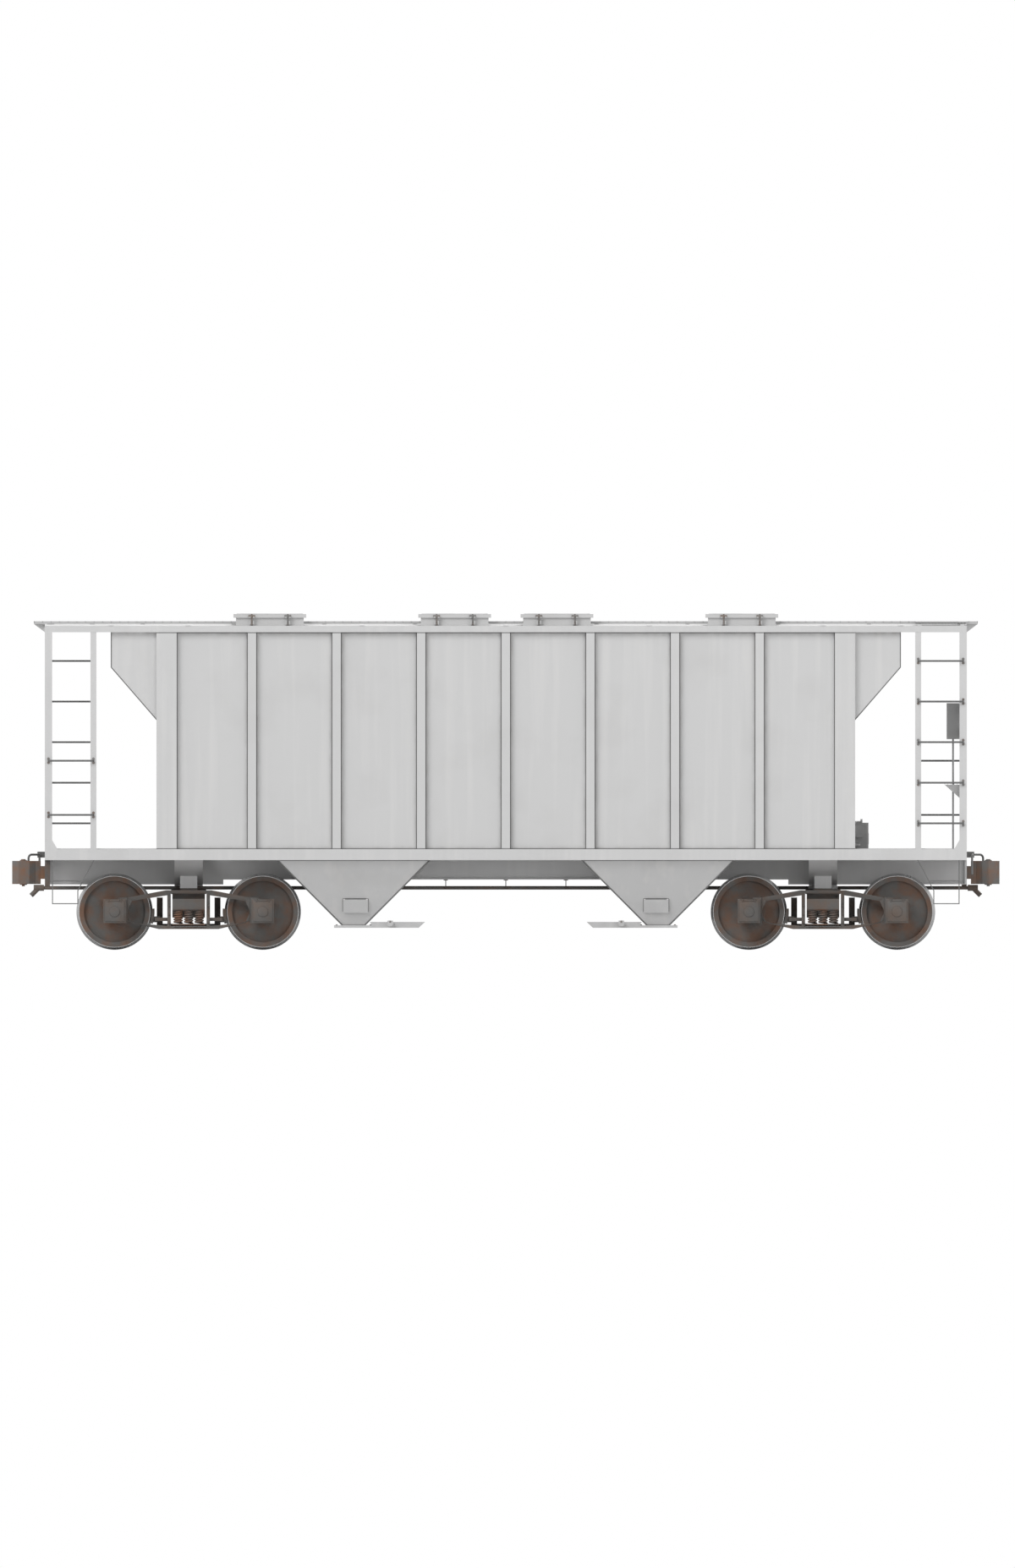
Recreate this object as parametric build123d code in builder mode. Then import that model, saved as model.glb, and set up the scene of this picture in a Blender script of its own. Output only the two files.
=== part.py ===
from build123d import *
import os
from math import atan2, cos, degrees, hypot, sin, tan

os.makedirs("parts", exist_ok=True)

# A two-bay covered hopper car for bulk cement, standing on two four-wheel trucks.
# X runs along the track, with the hand brake at the +X end. Y runs across the car, Z is up.
# The origin is midway between the coupler faces, on the centre line, at the flange tips.
# Heights named "above_rail" are measured from the rail head, which is one flange depth up.

# Wheels and track
flange_depth = 25.4
tread_diameter = 838.0
wheel_back_y = 676.5
wheel_rim_width = 144.5
wheel_flange_width = 34.0
wheel_rim_depth = 62.0
wheel_plate = 28.0
wheel_plate_dish = 30.0
wheel_hub_radius = 138.0
wheel_hub_overhang = 26.0
wheel_tread_fall = 5.0
axle_body_radius = 86.0
axle_seat_radius = 102.0
axle_guard_radius = 90.0
journal_radius = 76.0
journal_length = 279.0
journal_collar = 12.0
journal_y = 1003.0

# Trucks
truck_setback = 1676.0
truck_wheelbase = 1727.0
centre_plate_above_rail = 654.0
bowl_radius = 205.0
bowl_clearance = 6.0
bowl_wall = 27.0
bowl_rim = 28.0
bowl_floor = 30.0
side_bearing_y = 635.0
side_bearing_gap = 6.0
side_bearing_length = 200.0
side_bearing_width = 100.0
side_bearing_height = 62.0

# Body, over the end sills and over the side sills
body_length = 10744.0
body_width = 3022.0
side_depth = 85.0
sheet = 6.0
frame_wall = 10.0
sill_above_rail = 1020.0
sill_depth = 128.0
eave_above_rail = 3745.0
top_rail_depth = 69.0
sheet_setback = 1301.0
end_wall_setback = 774.0
end_wall_height = 478.0

# Hopper bays
bay_centre = 1774.0
bay_length = 1754.0
hopper_depth = 759.0
outlet_length = 242.0
outlet_width = 610.0
outlet_inner_y = 330.0
hood_gap = 4.0
hood_shoulder = 8.0
hood_rise = 190.0
vibrator_pad_length = 290.0
vibrator_pad_height = 178.0
vibrator_pad_depth = 30.0
vibrator_pad_lip = 22.0
vibrator_pad_share = 0.69
vibrator_pad_offset = 22.0

# Side posts
end_panel = 1113.0
post_count = 7
post_width = 99.0
post_recess = 4.0
post_wall = 8.0
end_post_width = 236.0

# Roof and hatches
roof_sheet = 5.0
roof_camber = 18.0
lid_size = 848.0
lid_depth = 49.0
lid_sheet = 5.0
lid_rib = 5.0
lid_rib_width = 60.0
lid_rise = 99.0
lid_seal = 12.0
lid_seal_width = 24.0
lid_overlap = 29.5
coaming_wall = 6.0
coaming_drop = 12.0
hatch_inner_x = 596.0
hatch_outer_x = 2750.0
hatch_y = 804.0
hinge_offset = 20.0
hinge_spread = 500.0
hinge_eye = 13.0
hinge_pin = 6.0
hinge_lug = 12.0
hinge_knuckle = 34.0
hinge_side_gap = 2.0
hinge_web = 55.0
hinge_clear = 8.0
hasp_width = 64.0
hasp_reach = 44.0
hasp_thickness = 12.0
hasp_slot = 24.0
hasp_spread = 420.0
latch_width = 14.0
latch_drop = 34.0
latch_height = 46.0
latch_reach = 62.0

# Running board
running_overhang = 128.0
running_width = 610.0
running_thickness = 32.0
running_above_eave = 59.0
saddle_width = 50.0
saddle_overhang = 40.0
saddle_count = 11
bracket_wall = 10.0
bracket_y = 230.0
corner_board_length = 603.0
corner_board_edge = 40.0

# End bays
corner_post_width = 84.0
ladder_post_width = 69.0
ladder_post_setback = 601.0
ladder_post_wall = 12.0
gusset_width = 62.0
gusset_height = 110.0
end_post_width_y = 100.0
end_post_y = 430.0
end_stile_y = 1000.0
platform_sheet = 8.0
platform_reach = 1660.0
slope_web = 10.0
slope_web_y = 262.0
slope_web_foot = 660.0
slope_web_setback = 1420.0

# Rungs and grab irons
rung_diameter = 22.0
rung_bend = 30.0
rung_standoff = 60.0
rung_top_above_rail = 3341.0
rung_pitch = 473.0
rung_count = 5
grab_above_rail_low = 1547.0
grab_above_rail_high = 2178.0

# Sill steps
step_width = 50.0
step_wall = 11.0
step_depth = 508.0
step_setback = 84.0
step_tread = 295.0
step_inner_depth = 355.0
step_diagonal = 193.0
step_mid_depth = 242.0
step_edge = 6.0

# Centre sill, bolsters and couplers
centre_sill_width = 330.0
centre_sill_wall = 12.0
centre_sill_above_rail = 793.0
centre_sill_flange = 40.0
draft_sill_above_rail = 736.0
draft_sill_length = 2080.0
bolster_width = 330.0
bolster_wall = 14.0
bolster_tip_depth = 108.0
bolster_plate = 20.0
striker_wall = 24.0
striker_width = 500.0
coupler_above_rail = 876.0
coupler_reach = 381.0
shank_width = 130.0
shank_height = 150.0
shank_length = 520.0
head_height = 270.0
head_start = 47.625
carrier_height = 24.0

# Outlet frames and slide gates
frame_depth = 30.0
frame_border = 106.0
frame_floor = 7.0
gate_thickness = 10.0
gate_lap = 22.0
gate_nose = 30.0
gate_lug = 12.0
gate_side_gap = 5.0
track_depth = 69.0
track_length = 606.0
track_wall = 12.0
track_ledge = 20.0
track_bevel = 74.0
rack_height = 12.0
shaft_diameter = 34.0
shaft_out = 200.0
shaft_overhang = 90.0
shaft_gap = 6.0
capstan_radius = 36.0
capstan_length = 46.0
shaft_bearing = 64.0

# Truck side frames
frame_width = 140.0
frame_top_above_rail = 700.0
frame_bottom_above_rail = 185.0
frame_chord = 88.0
column_width = 76.0
window_half = 190.0
window_floor_above_rail = 262.0
window_head_above_rail = 612.0
box_half_length = 130.0
box_below_axle = 132.0
box_above_axle = 148.0
box_inner = 115.0
box_outer = 180.0
box_wall = 24.0
box_lid = 14.0
box_lid_lip = 18.0
bearing_half = 60.0

# Truck bolster, springs and brakes
truck_bolster_end = 1085.0
truck_bolster_end_depth = 120.0
truck_bolster_end_above_rail = 448.0
truck_bolster_shoulder = 800.0
truck_bolster_belly = 300.0
truck_bolster_belly_above_rail = 350.0
truck_bolster_web = 150.0
truck_bolster_flange = 34.0
spring_radius = 56.0
spring_pitch_x = 122.0
spring_seat = 14.0
brake_beam_above_rail = 330.0
brake_beam_width = 60.0
brake_beam_depth = 70.0
shoe_gap = 8.0
shoe_thickness = 40.0
shoe_back = 30.0
shoe_width = 90.0
shoe_reach = 150.0
beam_guide = 40.0
lever_thickness = 20.0
lever_width = 70.0
lever_top_above_rail = 585.0
bottom_rod_above_rail = 262.0
bottom_rod_diameter = 34.0

# Brake gear on the body
cylinder_radius = 130.0
cylinder_length = 400.0
cylinder_setback = 751.0
cylinder_rod = 22.0
cylinder_rod_length = 330.0
cylinder_flange = 24.0
cylinder_lever_width = 60.0
cylinder_lever_length = 460.0
reservoir_radius = 170.0
reservoir_length = 860.0
reservoir_dome = 60.0
reservoir_setback = 681.0
reservoir_band = 26.0
gear_standing = 60.0
saddle_block = 80.0
saddle_length = 220.0
valve_size = 220.0
valve_height = 300.0
valve_offset = 420.0
reservoir_offset = 200.0
cylinder_offset = 60.0
handwheel_radius = 280.0
handwheel_rim = 14.0
handwheel_hub = 44.0
handwheel_spokes = 6
full_turn = 360
handwheel_spoke = 11.0
handwheel_dish = 34.0
handwheel_setback = 34.0
handwheel_y = 85.0
handwheel_above_rail = 2640.0
brake_box_width = 260.0
brake_box_height = 420.0
brake_box_depth = 150.0
brake_rod = 22.0
brake_beam_bar = 110.0
brake_bar_spread = 280.0
brake_shaft = 26.0
brake_step_above_rail = 1930.0
brake_step_depth = 260.0
brake_step_wall = 30.0
brake_step_brace = 12.0

# Train line and uncoupling levers
pipe_diameter = 42.0
pipe_bend = 160.0
pipe_end_y = 330.0
pipe_above_rail = 697.0
pipe_mid_y = 60.0
pipe_setback = 200.0
pipe_shift = 600.0
pipe_overhang = 70.0
hanger_length = 50.0
hanger_wall = 10.0
hanger_count = 5
hanger_pitch = 700.0
cock_radius = 36.0
cock_length = 120.0
cock_outlet = 28.0
cock_outlet_length = 90.0
pipe_bracket = 12.0
pipe_bracket_width = 60.0
lever_rod = 25.0
lever_bend = 45.0
lever_standoff = 62.0
lever_handle_setback = 111.0
lever_handle_drop = 230.0
lever_above_rail = 1084.0
lever_bracket_y_in = 330.0
lever_bracket_setback = 261.0
lever_bracket = 12.0
lever_bracket_height = 70.0
lever_eye_reach = 190.0

# Running fits
fit = 0.3
cut = 20.0

# Places worked out from the sizes above
rail = flange_depth
half_length = body_length / 2
half_width = body_width / 2
skin = half_width - side_depth
inside = skin - sheet
sill_z0 = rail + sill_above_rail
sill_z1 = sill_z0 + sill_depth
eave_z = rail + eave_above_rail
top_rail_z = eave_z - top_rail_depth
sheet_x = half_length - sheet_setback
post_pitch = 2 * (sheet_x - end_panel) / (post_count - 1)
end_wall_x = half_length - end_wall_setback
knee_z = eave_z - end_wall_height
bay_outer_x = bay_centre + bay_length / 2
bay_inner_x = bay_centre - bay_length / 2
outlet_z = sill_z0 - hopper_depth
frame_z = outlet_z - frame_depth
ridge_z = sill_z0 + bay_inner_x * hopper_depth / ((bay_length - outlet_length) / 2)
slope_run = end_wall_x - bay_outer_x
slope_rise = knee_z - sill_z0
slope_angle = atan2(slope_rise, slope_run)
sill_half = centre_sill_width / 2
hood_inner = sill_half + hood_gap
hood_outer = hood_inner + sheet
hood_z = sill_z1 + hood_shoulder
truck_x = half_length - truck_setback
axle_z = rail + tread_diameter / 2
wheel_x = truck_wheelbase / 2
lid_z0 = eave_z + lid_rise
lid_z1 = lid_z0 + lid_depth
lid_plate_z = lid_z1 - lid_rib - lid_sheet
coaming_top = lid_plate_z - lid_seal - fit
coaming_size = lid_size - 2 * lid_overlap
hinge_y = lid_size / 2 + hinge_offset
plate_z = rail + centre_plate_above_rail
draft_z = rail + draft_sill_above_rail
coupler_z = rail + coupler_above_rail
post_x = half_length - corner_post_width
ladder_x = half_length - ladder_post_setback
platform_z = sill_z1 + platform_sheet
platform_end = half_length - corner_post_width - cut
platform_x = platform_end - platform_reach


def block(x0, x1, y0, y1, z0, z1, mode=Mode.ADD):
    """A square-edged block between two opposite corners."""
    with Locations(((x0 + x1) / 2, (y0 + y1) / 2, (z0 + z1) / 2)):
        Box(abs(x1 - x0), abs(y1 - y0), abs(z1 - z0), mode=mode)


def side_shape(points, y0, y1, mode=Mode.ADD):
    """An outline seen from the side, in (x, z), made solid between two y."""
    with BuildSketch(Plane.XZ.offset(-max(y0, y1))) as outline:
        with BuildLine():
            Polyline(*points, close=True)
        make_face()
    extrude(outline.sketch, amount=abs(y1 - y0), mode=mode)


def end_shape(points, x0, x1, mode=Mode.ADD):
    """An outline seen from the end, in (y, z), made solid between two x."""
    with BuildSketch(Plane.YZ.offset(min(x0, x1))) as outline:
        with BuildLine():
            Polyline(*points, close=True)
        make_face()
    extrude(outline.sketch, amount=abs(x1 - x0), mode=mode)


def plan_shape(points, z0, z1, mode=Mode.ADD):
    """An outline seen from above, in (x, y), made solid between two z."""
    with BuildSketch(Plane.XY.offset(min(z0, z1))) as outline:
        with BuildLine():
            Polyline(*points, close=True)
        make_face()
    extrude(outline.sketch, amount=abs(z1 - z0), mode=mode)


def rod(start, end, radius, mode=Mode.ADD):
    """A straight round bar from one point to another."""
    run = Vector(*end) - Vector(*start)
    with BuildSketch(Plane(origin=start, z_dir=run)) as section:
        Circle(radius)
    extrude(section.sketch, amount=run.length, mode=mode)


def bent_rod(points, radius, bend):
    """A round bar along straight runs joined by arcs."""
    with BuildLine() as route:
        FilletPolyline(*points, radius=bend)
    with BuildSketch(Plane(origin=route.line @ 0, z_dir=route.line % 0)) as section:
        Circle(radius)
    sweep(section.sketch, path=route.line)


def flipped(points, sign):
    """The same outline, with its first coordinate on the side that the sign gives."""
    return [(sign * a, b) for a, b in points]


def both_halves(points):
    """An outline's +X half followed by its mirror image."""
    return points + [(-a, b) for a, b in reversed(points)]


def save(part, label):
    """Names a finished piece and writes its file."""
    part.label = label
    export_step(part, f"parts/{label}.step")


# Side sheets: one welded sheet each side, cut back under the end slopes
sheet_knee_z = knee_z - (end_wall_x - sheet_x) * slope_rise / slope_run
sheet_outline = [(end_wall_x, eave_z), (end_wall_x, knee_z), (sheet_x, sheet_knee_z), (sheet_x, sill_z0)]
for label, side in (("side_sheet_left", 1), ("side_sheet_right", -1)):
    with BuildPart() as side_sheet:
        side_shape(both_halves(sheet_outline), side * inside, side * skin)
    save(side_sheet.part, label)


# Side posts: channels between the sill and the top rail, open towards the sheet
post_face = half_width - post_recess
post_places = [(post_pitch * (i - (post_count - 1) / 2), post_width) for i in range(post_count)]
post_places += [(end * (sheet_x - end_post_width / 2), end_post_width) for end in (-1, 1)]


def channel_outline(x, width, side, wall, back, face):
    """Plan of a channel with its web at the face and its legs against the back."""
    x0 = x - width / 2
    x1 = x + width / 2
    outer = [(x0, back), (x0, face), (x1, face), (x1, back)]
    inner = [(x1 - wall, back), (x1 - wall, face - wall), (x0 + wall, face - wall), (x0 + wall, back)]
    return [(px, side * py) for px, py in outer + inner]


for label, side in (("side_posts_left", 1), ("side_posts_right", -1)):
    with BuildPart() as side_posts:
        for x, width in post_places:
            plan_shape(channel_outline(x, width, side, post_wall, skin, post_face), sill_z1, top_rail_z)
    save(side_posts.part, label)


# Side sills and top rails: channels with their flanges turned inwards
def rail_outline(z0, z1, side, back, face, wall):
    """End view of a channel with its web at the face."""
    outer = [(back, z0), (face, z0), (face, z1), (back, z1)]
    inner = [(back, z1 - wall), (face - wall, z1 - wall), (face - wall, z0 + wall), (back, z0 + wall)]
    return flipped(outer + inner, side)


with BuildPart() as side_sills:
    for side in (1, -1):
        sill_outline = rail_outline(sill_z0, sill_z1, side, skin, half_width, frame_wall)
        end_shape(sill_outline, -half_length, half_length)
save(side_sills.part, "side_sills")

rail_depth_y = half_width - skin
with BuildPart() as top_rails:
    for side in (1, -1):
        long_rail = rail_outline(top_rail_z, eave_z, side, skin, half_width, frame_wall)
        end_shape(long_rail, -half_length, half_length)
    for end in (1, -1):
        cross_back = half_length - rail_depth_y
        cross_rail = rail_outline(top_rail_z, eave_z, end, cross_back, half_length, frame_wall)
        side_shape(cross_rail, -skin + fit, skin - fit)
save(top_rails.part, "top_rails")


# Roof: nearly flat sheets on the top rails, open under the hatches and parted along the hatch rows
hatch_places = [(end * x, side * hatch_y) for side in (-1, 1) for end, x in
                ((-1, hatch_outer_x), (-1, hatch_inner_x), (1, hatch_inner_x), (1, hatch_outer_x))]
coaming_in_y = hatch_y - coaming_size / 2
coaming_out_y = hatch_y + coaming_size / 2
crown_z = eave_z + roof_camber
roof_half = [(half_width, eave_z), (half_width, eave_z + roof_sheet), (skin, eave_z + roof_sheet),
             (running_width / 2, crown_z + roof_sheet)]
with BuildPart() as roof:
    roof_outline = both_halves(roof_half)
    roof_outline += [(-skin, eave_z), (-running_width / 2, crown_z)]
    roof_outline += [(running_width / 2, crown_z), (skin, eave_z)]
    end_shape(roof_outline, -half_length, half_length)
    with BuildSketch(Plane.XY.offset(eave_z - cut)):
        with Locations(*hatch_places):
            Rectangle(coaming_size, coaming_size)
    extrude(amount=roof_camber + roof_sheet + 2 * cut, mode=Mode.SUBTRACT)
    for side in (1, -1):
        for seam_y in (coaming_in_y, coaming_out_y):
            block(-half_length - cut, half_length + cut, side * seam_y - fit / 2, side * seam_y + fit / 2,
                  eave_z - cut, crown_z + cut, mode=Mode.SUBTRACT)
save(roof.part, "roof")


# Hatch coamings: square curbs through the roof, with hinge lugs inboard and latch brackets outboard
def eye_plate(points, y, z, radius, hole, side, x0, x1):
    """A plate across the car with a round eye at a hinge line."""
    with BuildSketch(Plane.YZ.offset(min(x0, x1))) as outline:
        with BuildLine():
            Polyline(*flipped(points, side), close=True)
        make_face()
        with Locations((side * y, z)):
            Circle(radius)
            if hole:
                Circle(hole, mode=Mode.SUBTRACT)
    extrude(outline.sketch, amount=abs(x1 - x0))


pin_y = hatch_y - hinge_y
lug_outline = [(pin_y - hinge_eye, lid_z0), (pin_y + hinge_eye, lid_z0),
               (pin_y + hinge_offset, lid_z0 - hinge_clear), (coaming_in_y, lid_z0 - hinge_clear),
               (coaming_in_y, lid_z0 - hinge_web)]
lug_in = hinge_knuckle / 2 + hinge_side_gap
lug_out = lug_in + hinge_lug
with BuildPart() as hatch_coamings:
    with BuildSketch(Plane.XY.offset(eave_z - coaming_drop)):
        with Locations(*hatch_places):
            Rectangle(coaming_size, coaming_size)
            Rectangle(coaming_size - 2 * coaming_wall, coaming_size - 2 * coaming_wall, mode=Mode.SUBTRACT)
    extrude(amount=coaming_top - eave_z + coaming_drop)
    for x, y in hatch_places:
        side = 1 if y > 0 else -1
        for turn in (-1, 1):
            hinge_x = x + turn * hinge_spread / 2
            for flank in (-1, 1):
                x0 = hinge_x + flank * lug_in
                x1 = hinge_x + flank * lug_out
                eye_plate(lug_outline, pin_y, lid_z0, hinge_eye, 0, side, x0, x1)
            pin_start = (hinge_x - lug_out, side * pin_y, lid_z0)
            rod(pin_start, (hinge_x + lug_out, side * pin_y, lid_z0), hinge_pin)
            latch_x = x + turn * hasp_spread / 2
            for flank in (-1, 1):
                x0 = latch_x + flank * hasp_slot / 2
                x1 = x0 + flank * latch_width
                latch_z = lid_z0 - latch_drop
                latch_tip = side * (coaming_out_y + latch_reach)
                block(x0, x1, side * coaming_out_y, latch_tip, latch_z - latch_height, latch_z)
save(hatch_coamings.part, "hatch_coamings")


# Hatch lids: pans that drop over the coamings on a seal, hinged beside the running board
knuckle_outline = [(pin_y, lid_z0), (pin_y, lid_z0 + hinge_eye),
                   (pin_y + hinge_offset, lid_z0 + hinge_offset), (pin_y + hinge_offset, lid_z0 + hinge_pin)]
seal_half = coaming_size / 2 - coaming_wall / 2
for number, (x, y) in enumerate(hatch_places, start=1):
    side = 1 if y > 0 else -1
    with BuildPart() as hatch_lid:
        lid_half = lid_size / 2
        block(x - lid_half, x + lid_half, y - lid_half, y + lid_half, lid_z0, lid_z1 - lid_rib)
        well = lid_half - lid_sheet
        block(x - well, x + well, y - well, y + well, lid_z0, lid_plate_z, mode=Mode.SUBTRACT)
        with BuildSketch(Plane.XY.offset(lid_plate_z - lid_seal)):
            with Locations((x, y)):
                Rectangle(2 * seal_half + lid_seal_width, 2 * seal_half + lid_seal_width)
                Rectangle(2 * seal_half - lid_seal_width, 2 * seal_half - lid_seal_width, mode=Mode.SUBTRACT)
        extrude(amount=lid_seal)
        with BuildSketch(Plane.XY.offset(lid_z1 - lid_rib)):
            for slant in (-1, 1):
                with BuildLine():
                    reach = lid_half - lid_rib_width
                    Line((x - reach, y - slant * reach), (x + reach, y + slant * reach))
                trace(line_width=lid_rib_width)
        extrude(amount=lid_rib)
        for turn in (-1, 1):
            hinge_x = x + turn * hinge_spread / 2
            eye_plate(knuckle_outline, pin_y, lid_z0, hinge_eye, hinge_pin + fit, side,
                      hinge_x - hinge_knuckle / 2, hinge_x + hinge_knuckle / 2)
            hasp_x = x + turn * hasp_spread / 2
            hasp_y = hatch_y + lid_half
            hasp_tip = side * (hasp_y + hasp_reach)
            hasp_z1 = lid_z0 + hasp_thickness
            block(hasp_x - hasp_width / 2, hasp_x + hasp_width / 2, side * hasp_y, hasp_tip, lid_z0, hasp_z1)
            block(hasp_x - hasp_slot / 2, hasp_x + hasp_slot / 2, side * (hasp_y + hasp_slot), hasp_tip,
                  lid_z0, hasp_z1, mode=Mode.SUBTRACT)
    save(hatch_lid.part, f"hatch_lid_{number}")


# Running board: a board along the roof on saddles, with a corner board over each ladder
board_z1 = eave_z + running_above_eave
board_z0 = board_z1 - running_thickness
running_half = half_length + running_overhang
saddle_pitch = 2 * post_x / (saddle_count - 1)
board_places = [saddle_pitch * i - post_x for i in range(saddle_count)]
saddle_half = running_width / 2 - saddle_overhang
with BuildPart() as running_board:
    block(-running_half, running_half, -running_width / 2, running_width / 2, board_z0, board_z1)
    for x in board_places:
        block(x - saddle_width / 2, x + saddle_width / 2, -saddle_half, saddle_half,
              crown_z + roof_sheet, board_z0)
    for end in (1, -1):
        ladder_side = -end
        board_x = half_length - corner_board_length
        board_y = half_width - corner_board_edge
        block(end * board_x, end * half_length, ladder_side * running_width / 2, ladder_side * board_y,
              board_z0, board_z1)
        for x in (board_x + saddle_width, half_length - saddle_width):
            post_y = ladder_side * (half_width - saddle_width)
            block(end * (x - saddle_width / 2), end * (x + saddle_width / 2), post_y - saddle_width / 4,
                  post_y + saddle_width / 4, eave_z + roof_sheet, board_z0)
        for turn in (-1, 1):
            brace = [(half_length, board_z0), (running_half, board_z0), (half_length, top_rail_z)]
            side_shape(flipped(brace, end), turn * bracket_y, turn * (bracket_y + bracket_wall))
save(running_board.part, "running_board")


# End slopes: an upright end sheet and the slope sheet below it, notched for the centre sill
slope_shift = sheet / sin(slope_angle)
end_slope_outline = [(end_wall_x, eave_z), (end_wall_x + sheet, eave_z),
                     (end_wall_x + sheet, knee_z - (slope_shift - sheet) * tan(slope_angle)),
                     (bay_outer_x + slope_shift, sill_z0), (bay_outer_x, sill_z0), (end_wall_x, knee_z)]
for label, end in (("end_slope_a", -1), ("end_slope_b", 1)):
    with BuildPart() as end_slope:
        side_shape(flipped(end_slope_outline, end), -inside, inside)
        block(end * (bay_outer_x - cut), end * end_wall_x, -hood_inner, hood_inner, sill_z0 - cut, hood_z,
              mode=Mode.SUBTRACT)
    save(end_slope.part, label)


# Centre ridge: the two inner slopes between the bays
ridge_angle = atan2(ridge_z - sill_z0, bay_inner_x)
ridge_shift = sheet / sin(ridge_angle)
ridge_drop = sheet / cos(ridge_angle)
with BuildPart() as centre_ridge:
    ridge_outer = [(bay_inner_x, sill_z0), (0, ridge_z), (-bay_inner_x, sill_z0)]
    ridge_inner = [(-bay_inner_x + ridge_shift, sill_z0), (0, ridge_z - ridge_drop),
                   (bay_inner_x - ridge_shift, sill_z0)]
    side_shape(ridge_outer + ridge_inner, -inside, inside)
    block(-bay_inner_x - cut, bay_inner_x + cut, -hood_inner, hood_inner, sill_z0 - cut, hood_z,
          mode=Mode.SUBTRACT)
save(centre_ridge.part, "centre_ridge")


# Hopper bays: a left and a right funnel under each bay, joined by a hood over the centre sill
outlet_outer_y = outlet_inner_y + outlet_width
hood_peak_z = hood_z + hood_rise
hood_slant = sheet * hypot(hood_rise, hood_outer) / hood_outer
hood_inner_z = hood_z + hood_rise * (hood_outer - hood_inner) / hood_outer - hood_slant
hood_outline = [(hood_outer, sill_z0), (hood_outer, hood_z), (0, hood_peak_z), (-hood_outer, hood_z),
                (-hood_outer, sill_z0), (-hood_inner, sill_z0), (-hood_inner, hood_inner_z),
                (0, hood_peak_z - hood_slant), (hood_inner, hood_inner_z), (hood_inner, sill_z0)]
hopper_slant = sheet * hypot(bay_length - outlet_length, 2 * hopper_depth) / (2 * hopper_depth)


def funnel(x, side, grow_x, grow_y, mode):
    """One tapered funnel from the sill down to its outlet, grown by a wall."""
    levels = ((sill_z0, bay_length, hood_outer, inside),
              (outlet_z, outlet_length, outlet_inner_y, outlet_outer_y))
    sections = []
    for z, length, y0, y1 in levels:
        with BuildSketch(Plane.XY.offset(z)) as section:
            with Locations((x, side * (y0 + y1) / 2)):
                Rectangle(length + 2 * grow_x, y1 - y0 + 2 * grow_y)
        sections.append(section.sketch.face())
    loft(sections, ruled=True, mode=mode)


funnel_angle = atan2(hopper_depth, inside - outlet_outer_y)
for label, end in (("hopper_bay_a", -1), ("hopper_bay_b", 1)):
    with BuildPart() as hopper_bay:
        x = end * bay_centre
        for side in (1, -1):
            funnel(x, side, hopper_slant, sheet, Mode.ADD)
        for side in (1, -1):
            funnel(x, side, 0, 0, Mode.SUBTRACT)
        end_shape(hood_outline, x - bay_length, x + bay_length)
        side_shape([(end * bay_outer_x, sill_z0), (end * end_wall_x, knee_z), (end * end_wall_x * 2, knee_z),
                    (end * end_wall_x * 2, sill_z0)], -skin, skin, mode=Mode.SUBTRACT)
        side_shape([(end * bay_inner_x, sill_z0), (0, ridge_z), (-end * bay_inner_x * 2, ridge_z),
                    (-end * bay_inner_x * 2, sill_z0)], -skin, skin, mode=Mode.SUBTRACT)
        pad_x = x - end * vibrator_pad_offset
        for side in (1, -1):
            pad_y = inside + sheet - (inside - outlet_outer_y) * vibrator_pad_share
            pad_z = sill_z0 - hopper_depth * vibrator_pad_share
            outward = (0, side * sin(funnel_angle), -cos(funnel_angle))
            with Locations(Plane(origin=(pad_x, side * pad_y, pad_z), x_dir=(1, 0, 0), z_dir=outward)):
                Box(vibrator_pad_length, vibrator_pad_height, vibrator_pad_depth,
                    align=(Align.CENTER, Align.CENTER, Align.MIN))
                Box(vibrator_pad_length - 2 * vibrator_pad_lip, vibrator_pad_height, vibrator_pad_lip,
                    align=(Align.CENTER, Align.CENTER, Align.MIN), mode=Mode.SUBTRACT)
    save(hopper_bay.part, label)


# Outlet frames: a flanged frame under each outlet, with a track for its gate towards the car's middle
floor_z = frame_z + frame_floor
gate_z0 = floor_z + fit
gate_z1 = gate_z0 + gate_thickness
slot_z = gate_z1 + gate_side_gap
outlet_half = outlet_length / 2
frame_half = outlet_half + frame_border
gate_half = outlet_width / 2 + gate_lap
track_end = frame_half + track_length
track_foot = track_end - track_bevel
track_z = frame_z + track_depth
shaft_z = gate_z1 + rack_height + shaft_gap + shaft_diameter / 2
shaft_x = frame_half + shaft_out
outlet_y = outlet_inner_y + outlet_width / 2
frame_half_y = gate_half + gate_side_gap + track_wall
for_gates = [(end, side) for end in (-1, 1) for side in (-1, 1)]


def along(end, distance):
    """A place measured from an outlet's middle towards the middle of the car."""
    return end * (bay_centre - distance)


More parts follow.
